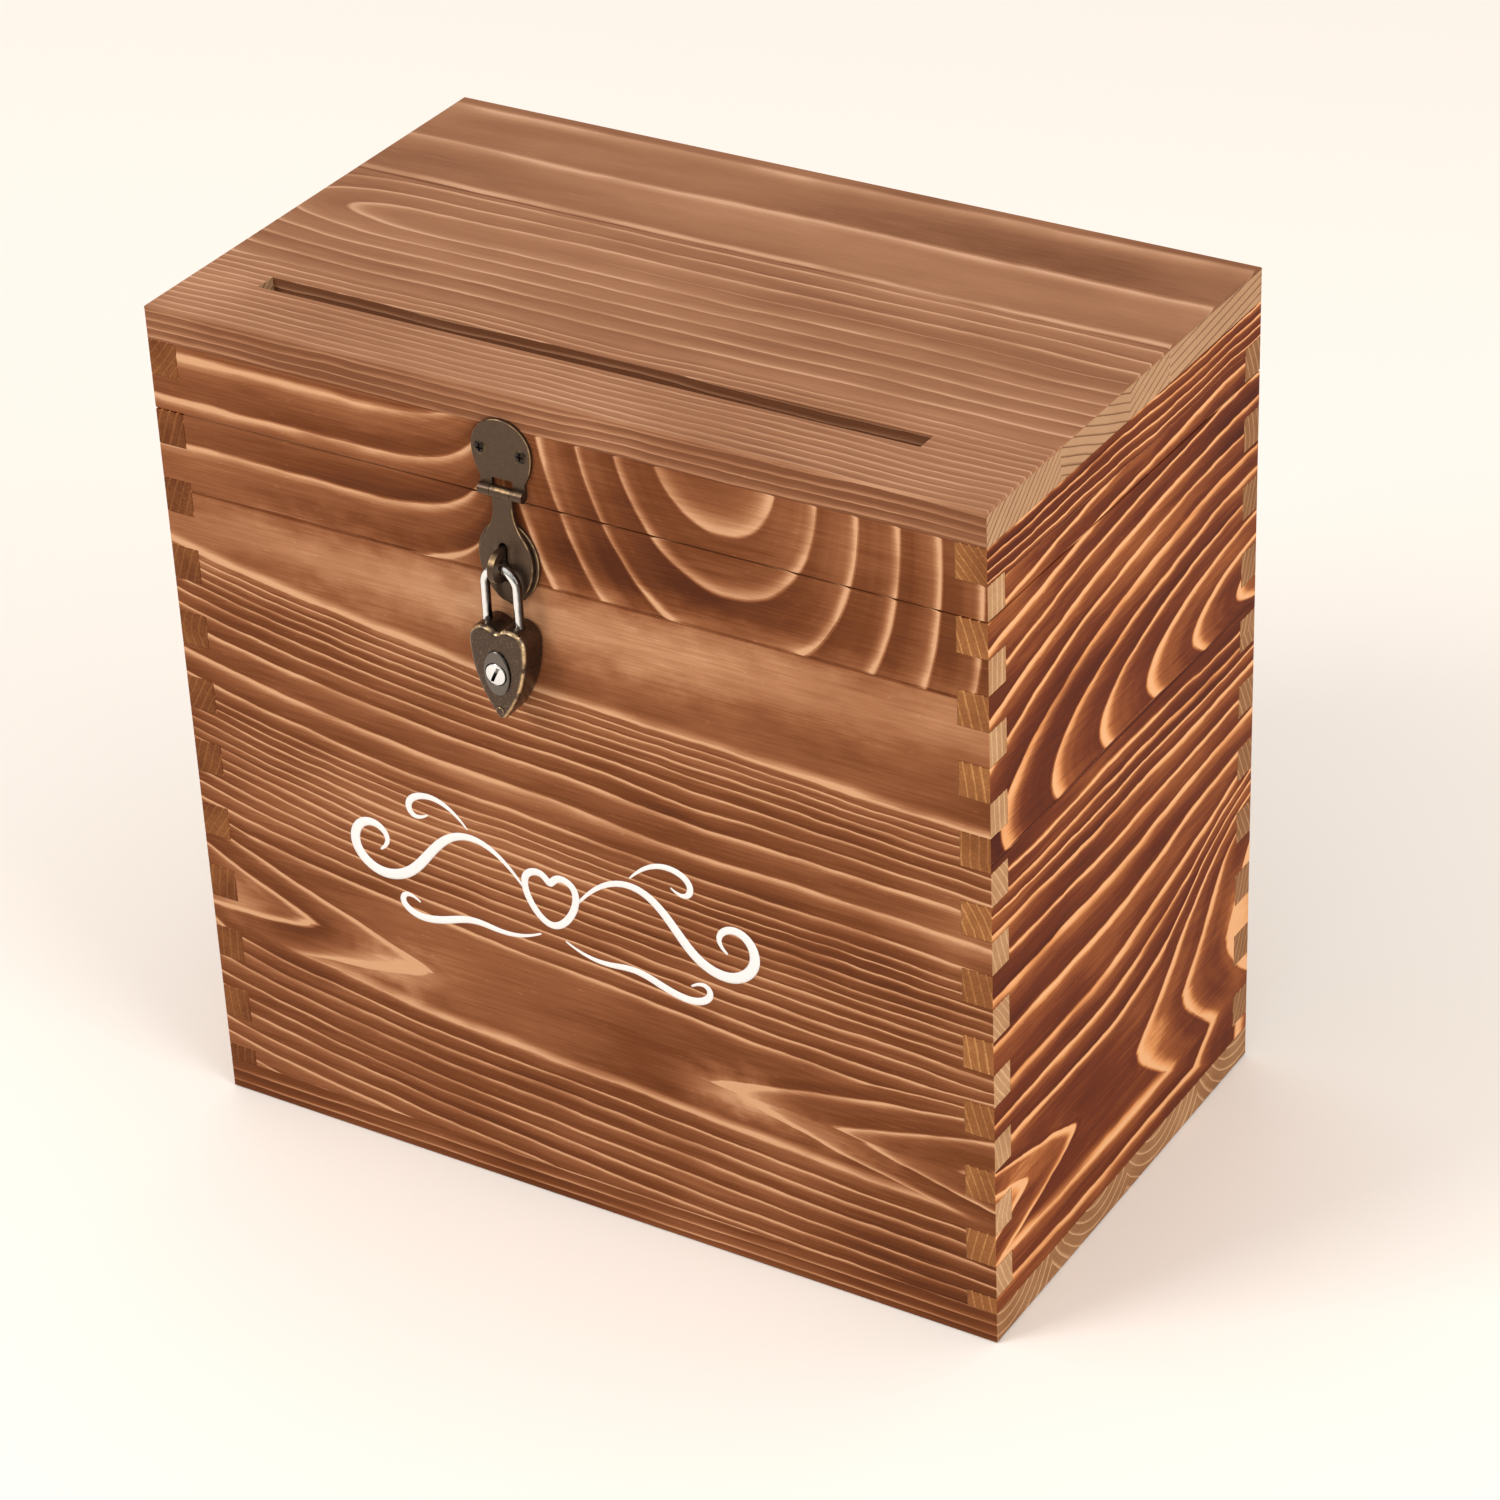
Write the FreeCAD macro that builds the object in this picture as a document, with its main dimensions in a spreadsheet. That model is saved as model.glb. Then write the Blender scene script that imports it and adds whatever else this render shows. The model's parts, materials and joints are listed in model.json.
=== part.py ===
import FreeCAD, Part
import math
import os
import Sketcher

# Wedding card box: torched pine, box-jointed walls, a hinged lid with a card slot in its top board,
# a bronze hasp with a heart padlock on the front, and two small butt hinges on the back.
# Millimetres. +Z is up, the front faces -Y, and the origin is the middle of the underside.

doc = FreeCAD.newDocument("wedding_card_box")
sheet = doc.addObject("Spreadsheet::Sheet", "sizes")


class Size:
    """A length that carries its number together with the sheet expression it comes from."""

    def __init__(self, value, text):
        self.value = value
        self.text = text

    def __add__(self, other):
        other = as_size(other)
        return Size(self.value + other.value, f"({self.text} + {other.text})")

    def __sub__(self, other):
        other = as_size(other)
        return Size(self.value - other.value, f"({self.text} - {other.text})")

    def __rsub__(self, other):
        return as_size(other) - self

    def __mul__(self, other):
        other = as_size(other)
        return Size(self.value * other.value, f"({self.text} * {other.text})")

    def __truediv__(self, other):
        other = as_size(other)
        return Size(self.value / other.value, f"({self.text} / {other.text})")

    def __neg__(self):
        return Size(-self.value, f"(-1 * {self.text})")

    __radd__ = __add__
    __rmul__ = __mul__


def as_size(length):
    return length if isinstance(length, Size) else Size(float(length), str(length))


def whole(count):
    return Size(math.ceil(count.value), f"ceil({count.text})")


def root(square):
    return Size(math.sqrt(square.value), f"sqrt({square.text})")


sheet_rows = 0


def size(alias, number):
    """Write one driving dimension into the sheet under its alias."""
    global sheet_rows
    sheet_rows += 1
    sheet.set(f"A{sheet_rows}", alias)
    sheet.set(f"B{sheet_rows}", str(number))
    sheet.setAlias(f"B{sheet_rows}", alias)
    return Size(float(number), f"sizes.{alias}")


# Sizes of the wooden box
box_width = size("box_width", 254)
box_depth = size("box_depth", 152.4)
box_height = size("box_height", 254)
wall = size("wall_thickness", 9)
top_thickness = size("top_thickness", 10)
bottom_thickness = size("bottom_thickness", 10)
finger = size("finger_width", 10.4)
lid_gap = size("lid_gap", 0.4)
edge_round = size("edge_round", 0.8)
slot_length = size("slot_length", 202)
slot_width = size("slot_width", 6.4)
slot_setback = size("slot_setback", 26)
slot_shift = size("slot_shift", -5)

# Sizes of the countersunk screws
screw_length = size("screw_length", 7.4)
screw_point = size("screw_point", 2.2)
shank_radius = size("shank_radius", 1)
head_radius = size("head_radius", 1.9)
head_rise = size("head_rise", 0.55)
screw_clearance = size("screw_clearance", 0.05)
recess_length = size("recess_length", 2.2)
recess_width = size("recess_width", 0.5)
recess_depth = size("recess_depth", 0.8)
countersink_angle = size("countersink_angle", 90)

# Sizes of the two butt hinges
hinge_spacing = size("hinge_spacing", 160)
hinge_width = size("hinge_width", 26)
leaf_height = size("leaf_height", 11)
leaf_thickness = size("leaf_thickness", 1.1)
leaf_corner = size("leaf_corner", 2)
hinge_knuckle_radius = size("hinge_knuckle_radius", 1.7)
hinge_pin_radius = size("hinge_pin_radius", 0.8)
middle_knuckle = size("middle_knuckle", 8.8)
hinge_screw_spacing = size("hinge_screw_spacing", 15)
hinge_screw_height = size("hinge_screw_height", 6.5)
wood_clearance = size("wood_clearance", 0.1)
knuckle_gap = size("knuckle_gap", 0.15)
pin_clearance = size("pin_clearance", 0.04)

# Sizes of the hasp
hasp_shift = size("hasp_shift", -14)
pivot_lift = size("pivot_lift", 2.8)
hasp_sheet = size("hasp_sheet", 1.2)
hasp_knuckle_radius = size("hasp_knuckle_radius", 1.6)
hasp_pin_radius = size("hasp_pin_radius", 0.75)
hasp_arms = size("hasp_arms", 13.6)
hasp_window = size("hasp_window", 3.6)
hasp_width = size("hasp_width", 18.4)
hasp_waist = size("hasp_waist", 3.4)
hasp_shoulder = size("hasp_shoulder", 11.5)
hasp_screw_spacing = size("hasp_screw_spacing", 12.4)
sheet_round = size("sheet_round", 0.45)
tongue_sheet = size("tongue_sheet", 1.1)
tongue_neck = size("tongue_neck", 6.2)
tongue_neck_length = size("tongue_neck_length", 4.5)
tongue_width = size("tongue_width", 16.6)
tongue_length = size("tongue_length", 32.2)
tongue_tip_radius = size("tongue_tip_radius", 5)
staple_sheet = size("staple_sheet", 1)
staple_plate_width = size("staple_plate_width", 18.8)
staple_plate_top = size("staple_plate_top", 8)
staple_plate_end = size("staple_plate_end", 33.6)
staple_screw_spacing = size("staple_screw_spacing", 11.6)
staple_thickness = size("staple_thickness", 1.8)
staple_round = size("staple_round", 4.6)
eye_radius = size("eye_radius", 2.2)
eye_drop = size("eye_drop", 20)
eye_stand_off = size("eye_stand_off", 5.1)
slit_side_clearance = size("slit_side_clearance", 0.5)
slit_end_clearance = size("slit_end_clearance", 1.1)

# Sizes of the heart padlock
wire_radius = size("wire_radius", 1.3)
wire_rest_gap = size("wire_rest_gap", 0.15)
shackle_half_width = size("shackle_half_width", 5)
leg_clearance = size("leg_clearance", 0.09)
shackle_drop = size("shackle_drop", 15.8)
heart_width = size("heart_width", 17.7)
heart_height = size("heart_height", 27.6)
heart_lobe_radius = size("heart_lobe_radius", 5)
heart_cleft_radius = size("heart_cleft_radius", 1.2)
heart_tip_radius = size("heart_tip_radius", 1.6)
case_thickness = size("case_thickness", 9)
case_round = size("case_round", 0.7)
back_plate_thickness = size("back_plate_thickness", 1.1)
release_travel = size("release_travel", 7.3)
cavity_foot = size("cavity_foot", 0.84)
plug_drop = size("plug_drop", 13.2)
plug_radius = size("plug_radius", 3.5)
plug_face_radius = size("plug_face_radius", 3.1)
plug_length = size("plug_length", 2.7)
plug_proud = size("plug_proud", 0.5)
plug_round = size("plug_round", 0.3)
keyway_width = size("keyway_width", 1.1)
keyway_length = size("keyway_length", 4.4)
keyway_depth = size("keyway_depth", 2)
keyway_slant = size("keyway_slant", 0.5)
rosette_width = size("rosette_width", 8.2)
rosette_height = size("rosette_height", 13.2)
rosette_end_radius = size("rosette_end_radius", 3)
rosette_thickness = size("rosette_thickness", 0.6)
rosette_round = size("rosette_round", 0.3)
drive_pin_reach = size("drive_pin_reach", 1.5)
drive_pin_radius = size("drive_pin_radius", 0.6)
drive_pin_length = size("drive_pin_length", 3.2)
bolt_clearance = size("bolt_clearance", 0.2)
fork_clearance = size("fork_clearance", 0.12)
bolt_arm_width = size("bolt_arm_width", 2.8)
bolt_nose_height = size("bolt_nose_height", 1.4)
bolt_nose_width = size("bolt_nose_width", 2)
bolt_engagement = size("bolt_engagement", 0.55)
bolt_top_drop = size("bolt_top_drop", 3)
spring_radius = size("spring_radius", 0.65)
spring_wire_radius = size("spring_wire_radius", 0.15)
spring_turns = size("spring_turns", 7)
spring_pocket_end = size("spring_pocket_end", 6.2)
keeper_radius = size("keeper_radius", 0.6)
keeper_drop = size("keeper_drop", 6.4)
keeper_bite = size("keeper_bite", 0.9)
rivet_radius = size("rivet_radius", 0.8)
rivet_head_radius = size("rivet_head_radius", 1.15)
rivet_head_height = size("rivet_head_height", 0.35)
rivet_head_round = size("rivet_head_round", 0.24)
rivet_rise = size("rivet_rise", 2.9)

# Heights that several pieces share
wall_top = box_height - top_thickness
seam = wall_top - finger * 2
lid_low = seam + lid_gap
hinge_axis_height = seam + lid_gap / 2
pivot_height = seam + pivot_lift
eye_height = pivot_height - eye_drop
front = -box_depth / 2
back = box_depth / 2

pieces = []


def bind(target, path, length):
    """Tie a property of an object to the sheet."""
    target.setExpression(path, as_size(length).text)


def put(target, x=0, y=0, z=0):
    for axis, length in (("x", x), ("y", y), ("z", z)):
        bind(target, f"Placement.Base.{axis}", length)


def new_body(label, x=0, y=0, z=0):
    body = doc.addObject("PartDesign::Body", label)
    body.Label = label
    put(body, x, y, z)
    return body


def sketch_on(body, plane, offset=0):
    """A sketch on one of the body's own planes, moved along that plane's normal by the offset."""
    support = [feature for feature in body.Origin.OriginFeatures if feature.Role == plane][0]
    sketch = body.newObject("Sketcher::SketchObject", f"{body.Label}_sketch")
    sketch.AttachmentSupport = (support, [""])
    sketch.MapMode = "FlatFace"
    bind(sketch, "AttachmentOffset.Base.z", offset)
    return sketch


def constrain(sketch, kind, places, length):
    index = sketch.addConstraint(Sketcher.Constraint(kind, *places, as_size(length).value))
    bind(sketch, f"Constraints[{index}]", length)


def pin_point(sketch, curve, place, x, y):
    """Hold one point of a sketch at sheet-driven distances from the sketch's origin."""
    for kind, length, axis in (("DistanceX", x, -2), ("DistanceY", y, -1)):
        if as_size(length).value == 0:
            sketch.addConstraint(Sketcher.Constraint("PointOnObject", curve, place, axis))
        else:
            constrain(sketch, kind, (-1, 1, curve, place), length)


def arc_between(start, end, radius, bulge_right):
    """The minor arc from start to end, bulging to the right or left of its direction of travel."""
    chord = end - start
    half = chord.Length / 2
    left = FreeCAD.Vector(-chord.y, chord.x, 0).normalize()
    rise = math.sqrt(max(radius ** 2 - half ** 2, 0))
    centre = (start + end) / 2 + left * (rise if bulge_right else -rise)
    first, last = (start, end) if bulge_right else (end, start)
    start_angle = math.atan2(first.y - centre.y, first.x - centre.x)
    end_angle = math.atan2(last.y - centre.y, last.x - centre.x)
    if end_angle < start_angle:
        end_angle += 2 * math.pi
    return Part.ArcOfCircle(Part.Circle(centre, FreeCAD.Vector(0, 0, 1), radius), start_angle, end_angle)


def outline(sketch, corners, arcs=None):
    """A closed profile through corners; arcs maps an edge's number to (radius, bulges to the right)."""
    arcs = arcs or {}
    points = [FreeCAD.Vector(as_size(x).value, as_size(y).value, 0) for x, y in corners]
    ends = []
    for number, start in enumerate(points):
        end = points[(number + 1) % len(points)]
        if number in arcs:
            radius, bulge_right = arcs[number]
            curve = sketch.addGeometry(arc_between(start, end, as_size(radius).value, bulge_right))
            ends.append((curve, 1, 2) if bulge_right else (curve, 2, 1))
        else:
            ends.append((sketch.addGeometry(Part.LineSegment(start, end)), 1, 2))
    for number, (curve, first, last) in enumerate(ends):
        following, its_first, _ = ends[(number + 1) % len(ends)]
        sketch.addConstraint(Sketcher.Constraint("Coincident", curve, last, following, its_first))
        pin_point(sketch, curve, first, *corners[number])
        if number in arcs:
            constrain(sketch, "Radius", (curve,), arcs[number][0])


def arc_radius(run, rise):
    """The radius of the arc that starts along its rise and has moved over by its run at the end."""
    return (run * run + rise * rise) / (run * 2)


def side_to_tip(half, rise, tip_radius):
    """A long side arc that runs into a round tip: its radius, and where they meet from the tip's centre."""
    radius = (half * half + rise * rise - tip_radius * tip_radius) / ((half - tip_radius) * 2)
    share = tip_radius / (radius - tip_radius)
    return radius, (radius - half) * share, rise * share


def rectangle(sketch, x_low, x_high, y_low, y_high):
    outline(sketch, [(x_low, y_low), (x_high, y_low), (x_high, y_high), (x_low, y_high)])


def obround(sketch, x_half, y_middle, y_half):
    """An upright slot with round ends, centred on the sketch's vertical axis."""
    straight = y_half - x_half
    tops = [(x_half, y_middle + straight), (0, y_middle + y_half), (-x_half, y_middle + straight)]
    feet = [(-x_half, y_middle - straight), (0, y_middle - y_half), (x_half, y_middle - straight)]
    quarter = (x_half, True)
    outline(sketch, tops + feet, {0: quarter, 1: quarter, 3: quarter, 4: quarter})


def circle(sketch, x, y, radius):
    middle = FreeCAD.Vector(as_size(x).value, as_size(y).value, 0)
    curve = sketch.addGeometry(Part.Circle(middle, FreeCAD.Vector(0, 0, 1), as_size(radius).value))
    pin_point(sketch, curve, 3, x, y)
    constrain(sketch, "Radius", (curve,), radius)


def settle(feature):
    """Recompute, and stop if the feature failed."""
    doc.recompute()
    if "Invalid" in feature.State or "Error" in feature.State:
        raise RuntimeError(f"{feature.Label} failed: {feature.State}")
    return feature


def pad(body, sketch, length, reverse=False):
    feature = body.newObject("PartDesign::Pad", f"{body.Label}_pad")
    feature.Profile = sketch
    feature.Reversed = reverse
    bind(feature, "Length", length)
    return settle(feature)


def pocket(body, sketch, depth=None, reverse=False):
    """Cut a sketch out of its body, right through where no depth is given."""
    before = body.Shape.Volume
    feature = body.newObject("PartDesign::Pocket", f"{body.Label}_pocket")
    feature.Profile = sketch
    feature.Reversed = reverse
    if depth is None:
        feature.Type = "ThroughAll"
    else:
        bind(feature, "Length", depth)
    settle(feature)
    if body.Shape.Volume >= before:
        raise RuntimeError(f"a pocket of {body.Label} cuts nothing")
    return feature


def soften(body, radius, chosen):
    """Round the edges of the body's last feature that the test picks out."""
    base = body.Tip
    names = [f"Edge{number}" for number, edge in enumerate(base.Shape.Edges, 1) if chosen(edge)]
    feature = body.newObject("PartDesign::Fillet", f"{body.Label}_round")
    feature.Base = (base, names)
    bind(feature, "Radius", radius)
    settle(feature)


def lies_at(axis, level):
    """A test for edges that lie in one plane square to an axis."""
    height = as_size(level).value
    return lambda edge: all(abs(getattr(vertex.Point, axis) - height) < 1e-6 for vertex in edge.Vertexes)


def screw_holes(body, places, offset, from_front):
    """Countersunk holes for screws, in a sheet that lies on the wood."""
    sketch = sketch_on(body, "XZ_Plane", offset)
    for x, z in places:
        circle(sketch, x, z, shank_radius + screw_clearance)
    doc.recompute()
    before = body.Shape.Volume
    hole = body.newObject("PartDesign::Hole", f"{body.Label}_screw_holes")
    hole.Profile = sketch
    hole.Reversed = not from_front
    hole.DepthType = "ThroughAll"
    hole.HoleCutType = "Countersink"
    hole.HoleCutCustomValues = True
    bind(hole, "Diameter", (shank_radius + screw_clearance) * 2)
    bind(hole, "HoleCutDiameter", (head_radius + screw_clearance) * 2)
    bind(hole, "HoleCutCountersinkAngle", countersink_angle)
    doc.recompute()
    if body.Shape.Volume >= before:
        raise RuntimeError(f"the screw holes of {body.Label} cut nothing")


def pilot_holes(body, places, reverse):
    """Holes in the wood that the screws' shanks fill."""
    sketch = sketch_on(body, "XZ_Plane")
    for x, z in places:
        circle(sketch, x, z, shank_radius + screw_clearance)
    pocket(body, sketch, screw_length, reverse)


# Where the screws go
hinge_middles = (-hinge_spacing / 2, hinge_spacing / 2)
hinge_screw_columns = [middle + hinge_screw_spacing / 2 * side
                       for middle in hinge_middles for side in (-1, 1)]
hinge_lid_screws = [(x, hinge_axis_height + hinge_screw_height) for x in hinge_screw_columns]
hinge_body_screws = [(x, hinge_axis_height - hinge_screw_height) for x in hinge_screw_columns]
hasp_screws = [(hasp_shift + hasp_screw_spacing / 2 * side, pivot_height + hasp_shoulder)
               for side in (-1, 1)]
staple_screws = [(hasp_shift + staple_screw_spacing / 2 * side, eye_height) for side in (-1, 1)]


# The walls of the body and the rails of the lid, cut into fingers where they meet at the corners
def board(label, plane, half_length, place, inward_is_normal, low, high, first_socket, sockets):
    """One wall or rail, with its finger sockets cut down both of its ends from the first one."""
    body = new_body(label, *place)
    face = sketch_on(body, plane)
    rectangle(face, -half_length, half_length, low, high)
    pad(body, face, wall, reverse=not inward_is_normal)
    ends = sketch_on(body, plane)
    overrun = half_length + wall
    for inner, outer in ((half_length - wall, overrun), (-overrun, -half_length + wall)):
        rectangle(ends, inner, outer, first_socket - finger, first_socket)
    cut = pocket(body, ends, reverse=inward_is_normal)
    if sockets is not None:
        row = body.newObject("PartDesign::LinearPattern", f"{label}_sockets")
        row.Originals = [cut]
        row.Direction = (ends, ["V_Axis"])
        row.Reversed = True
        bind(row, "Length", finger * 2 * (sockets - 1))
        bind(row, "Occurrences", sockets)
        body.Tip = row
        doc.recompute()
    pieces.append(body)
    return body


half_width = box_width / 2
half_depth = box_depth / 2
front_sockets = whole((seam - bottom_thickness) / (finger * 2))
side_sockets = whole((seam - finger - bottom_thickness) / (finger * 2))

front_panel = board("front_panel", "XZ_Plane", half_width, (0, front, 0), False,
                    bottom_thickness, seam, seam, front_sockets)
pilot_holes(front_panel, staple_screws, reverse=False)
back_panel = board("back_panel", "XZ_Plane", half_width, (0, back, 0), True,
                   bottom_thickness, seam, seam, front_sockets)
pilot_holes(back_panel, hinge_body_screws, reverse=True)
board("left_panel", "YZ_Plane", half_depth, (-half_width, 0, 0), True,
      bottom_thickness, seam, seam - finger, side_sockets)
board("right_panel", "YZ_Plane", half_depth, (half_width, 0, 0), False,
      bottom_thickness, seam, seam - finger, side_sockets)

lid_front_rail = board("lid_front_rail", "XZ_Plane", half_width, (0, front, 0), False,
                       lid_low, wall_top, wall_top, None)
pilot_holes(lid_front_rail, hasp_screws, reverse=False)
lid_back_rail = board("lid_back_rail", "XZ_Plane", half_width, (0, back, 0), True,
                      lid_low, wall_top, wall_top, None)
pilot_holes(lid_back_rail, hinge_lid_screws, reverse=True)
board("lid_left_rail", "YZ_Plane", half_depth, (-half_width, 0, 0), True,
      lid_low, wall_top, wall_top - finger, None)
board("lid_right_rail", "YZ_Plane", half_depth, (half_width, 0, 0), False,
      lid_low, wall_top, wall_top - finger, None)

# The bottom board, glued on under the walls, with its lower edges eased
bottom_board = new_body("bottom_board")
footprint = sketch_on(bottom_board, "XY_Plane")
rectangle(footprint, -half_width, half_width, -half_depth, half_depth)
pad(bottom_board, footprint, bottom_thickness)
soften(bottom_board, edge_round, lies_at("z", 0))
pieces.append(bottom_board)

# The top board, glued on over the lid rails, with the card slot along its front
top_board = new_body("top_board", z=wall_top)
footprint = sketch_on(top_board, "XY_Plane")
rectangle(footprint, -half_width, half_width, -half_depth, half_depth)
pad(top_board, footprint, top_thickness)
soften(top_board, edge_round, lies_at("z", top_thickness))
card_slot = sketch_on(top_board, "XY_Plane", top_thickness)
slot_middle = front + slot_setback
rectangle(card_slot, slot_shift - slot_length / 2, slot_shift + slot_length / 2,
          slot_middle - slot_width / 2, slot_middle + slot_width / 2)
pocket(top_board, card_slot)
pieces.append(top_board)

# The countersunk screws that fix all the metalwork, drawn with the rim at the origin, pointing along +Y
def screw_pattern(label, rise):
    """One screw, with a head that is flat or domed to the given rise."""
    screw = new_body(label)
    profile = sketch_on(screw, "XY_Plane")
    dome = {0: (arc_radius(rise, head_radius), True)} if rise else {}
    outline(profile,
            [(0, -rise), (head_radius, 0), (shank_radius, head_radius - shank_radius),
             (shank_radius, screw_length - screw_point), (0, screw_length)], dome)
    turned = screw.newObject("PartDesign::Revolution", f"{label}_turned")
    turned.Profile = profile
    turned.ReferenceAxis = (profile, ["V_Axis"])
    turned.Angle = 360
    settle(turned)
    cross = sketch_on(screw, "XZ_Plane", rise)
    arm = recess_length / 2
    edge = recess_width / 2
    outline(cross, [(arm, -edge), (arm, edge), (edge, edge), (edge, arm), (-edge, arm), (-edge, edge),
                    (-arm, edge), (-arm, -edge), (-edge, -edge), (-edge, -arm), (edge, -arm), (edge, -edge)])
    pocket(screw, cross, recess_depth)
    return screw


domed_screw = screw_pattern("domed_screw", head_rise)
flat_screw = screw_pattern("flat_screw", 0)
about_face = FreeCAD.Rotation(FreeCAD.Vector(0, 0, 1), 180)


def screw_group(label, screw, places, head_level, into_back):
    """Copies of a screw at every place, in one group."""
    copies = []
    for x, z in places:
        copy = doc.addObject("App::Link", f"{label}_copy")
        copy.LinkedObject = screw
        copy.LinkTransform = False
        if into_back:
            copy.Placement = FreeCAD.Placement(FreeCAD.Vector(), about_face)
        put(copy, x, head_level, z)
        copies.append(copy)
    group = doc.addObject("Part::Compound", label)
    group.Label = label
    group.Links = copies
    pieces.append(group)


screw_group("hasp_plate_screws", domed_screw, hasp_screws, front - hasp_sheet, False)
screw_group("staple_plate_screws", flat_screw, staple_screws, front - staple_sheet, False)
screw_group("hinge_lid_screws", domed_screw, hinge_lid_screws, back + leaf_thickness, True)
screw_group("hinge_body_screws", domed_screw, hinge_body_screws, back + leaf_thickness, True)


# The butt hinges: two leaves curled round a pin that runs along the seam
def knuckle(body, x_low, x_high, y, radius):
    barrel = sketch_on(body, "YZ_Plane", x_low)
    circle(barrel, y, 0, radius)
    pad(body, barrel, x_high - x_low)


def pin_bore(body, x_high, y, radius):
    bore = sketch_on(body, "YZ_Plane", x_high)
    circle(bore, y, 0, radius)
    pocket(body, bore)


def pin(label, radius, length, x, y, z):
    rod = doc.addObject("Part::Cylinder", label)
    rod.Label = label
    rod.Placement = FreeCAD.Placement(FreeCAD.Vector(), FreeCAD.Rotation(FreeCAD.Vector(0, 1, 0), 90))
    bind(rod, "Radius", radius)
    bind(rod, "Height", length)
    put(rod, x - length / 2, y, z)
    pieces.append(rod)


hinge_stand_off = hinge_knuckle_radius + wood_clearance
knuckle_clear = hinge_knuckle_radius + knuckle_gap
half_hinge = hinge_width / 2
half_middle = middle_knuckle / 2


def hinge_leaf(label, x, up):
    """One leaf: up is 1 for the lid's, with the middle knuckle, and -1 for the body's, with the outer two."""
    body = new_body(label, x, back, hinge_axis_height)
    far = leaf_height * up
    near = knuckle_clear * up
    turn = (leaf_height - leaf_corner) * up
    inset = half_hinge - leaf_corner
    if up > 0:
        inner = [(-half_hinge, near), (-half_middle, near), (-half_middle, 0),
                 (half_middle, 0), (half_middle, near), (half_hinge, near)]
        barrels = [(-half_middle, half_middle)]
    else:
        cleared = half_middle + knuckle_gap
        inner = [(-half_hinge, 0), (-cleared, 0), (-cleared, near),
                 (cleared, near), (cleared, 0), (half_hinge, 0)]
        barrels = [(-half_hinge, -cleared), (cleared, half_hinge)]
    outer = [(half_hinge, turn), (inset, far), (-inset, far), (-half_hinge, turn)]
    corners = {len(inner): (leaf_corner, up > 0), len(inner) + 2: (leaf_corner, up > 0)}
    flat = sketch_on(body, "XZ_Plane")
    outline(flat, inner + outer, corners)
    pad(body, flat, leaf_thickness, reverse=True)
    for low, high in barrels:
        knuckle(body, low, high, hinge_stand_off, hinge_knuckle_radius)
    pin_bore(body, half_hinge, hinge_stand_off, hinge_pin_radius + pin_clearance)
    places = [(hinge_screw_spacing / 2 * side, hinge_screw_height * up) for side in (-1, 1)]
    screw_holes(body, places, -leaf_thickness, from_front=False)
    pieces.append(body)


for side, x in zip(("left", "right"), hinge_middles):
    hinge_leaf(f"{side}_hinge_body_leaf", x, -1)
    hinge_leaf(f"{side}_hinge_lid_leaf", x, 1)
    pin(f"{side}_hinge_pin", hinge_pin_radius, hinge_width, x, back + hinge_stand_off, hinge_axis_height)

# The hasp's hinge plate, screwed to the lid's front, with two knuckles at its foot
hasp_stand_off = hasp_knuckle_radius + wood_clearance
hasp_pin_bore = hasp_pin_radius + pin_clearance
half_arms = hasp_arms / 2
half_neck = tongue_neck / 2
arm_inner = half_neck + knuckle_gap
half_plate = hasp_width / 2

hasp_plate = new_body("hasp_plate", hasp_shift, front, pivot_height)
plate_face = sketch_on(hasp_plate, "XZ_Plane")
shoulder_curve = (half_plate, True)
ear_curve = (arc_radius(half_plate - half_arms, hasp_shoulder - hasp_waist), True)
outline(plate_face,
        [(half_arms, 0), (half_arms, hasp_waist), (half_plate, hasp_shoulder),
         (0, hasp_shoulder + half_plate), (-half_plate, hasp_shoulder),
         (-half_arms, hasp_waist), (-half_arms, 0), (-arm_inner, 0),
         (-arm_inner, hasp_window), (arm_inner, hasp_window), (arm_inner, 0)],
        {1: ear_curve, 2: shoulder_curve, 3: shoulder_curve, 4: ear_curve})
pad(hasp_plate, plate_face, hasp_sheet)
soften(hasp_plate, sheet_round,
       lambda edge: lies_at("y", -hasp_sheet)(edge) and edge.BoundBox.Center.z > hasp_shoulder.value / 2)
for low, high in ((-half_arms, -arm_inner), (arm_inner, half_arms)):
    knuckle(hasp_plate, low, high, -hasp_stand_off, hasp_knuckle_radius)
pin_bore(hasp_plate, half_arms, -hasp_stand_off, hasp_pin_bore)
screw_holes(hasp_plate, [(hasp_screw_spacing / 2 * side, hasp_shoulder) for side in (-1, 1)],
            hasp_sheet, from_front=True)
pieces.append(hasp_plate)

pin("hasp_pin", hasp_pin_radius, hasp_arms, hasp_shift, front - hasp_stand_off, pivot_height)

# The hasp's swinging tongue, with the slit that drops over the staple
hasp_tongue = new_body("hasp_tongue", hasp_shift, front, pivot_height)
leaf_face = sketch_on(hasp_tongue, "XZ_Plane", hasp_stand_off - tongue_sheet / 2)
belly = tongue_width / 2
tip_centre = tongue_tip_radius - tongue_length
side, meet_x, meet_z = side_to_tip(belly, -eye_drop - tip_centre, tongue_tip_radius)
tip_z = tip_centre - meet_z
flank_run = (belly - half_neck) / 2
flank_rise = (eye_drop - tongue_neck_length) / 2
flank = arc_radius(flank_run, flank_rise)
flank_x = half_neck + flank_run
flank_z = -tongue_neck_length - flank_rise
leaf_side = [(meet_x, tip_z), (belly, -eye_drop), (flank_x, flank_z), (half_neck, -tongue_neck_length),
             (half_neck, 0)]
tip_curve = (tongue_tip_radius, True)
side_curve = (side, True)
upper_curve = (flank, True)
neck_curve = (flank, False)
outline(leaf_face, [(0, -tongue_length)] + leaf_side + [(-x, z) for x, z in leaf_side[::-1]],
        {0: tip_curve, 1: side_curve, 2: upper_curve, 3: neck_curve,
         7: neck_curve, 8: upper_curve, 9: side_curve, 10: tip_curve})
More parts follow.
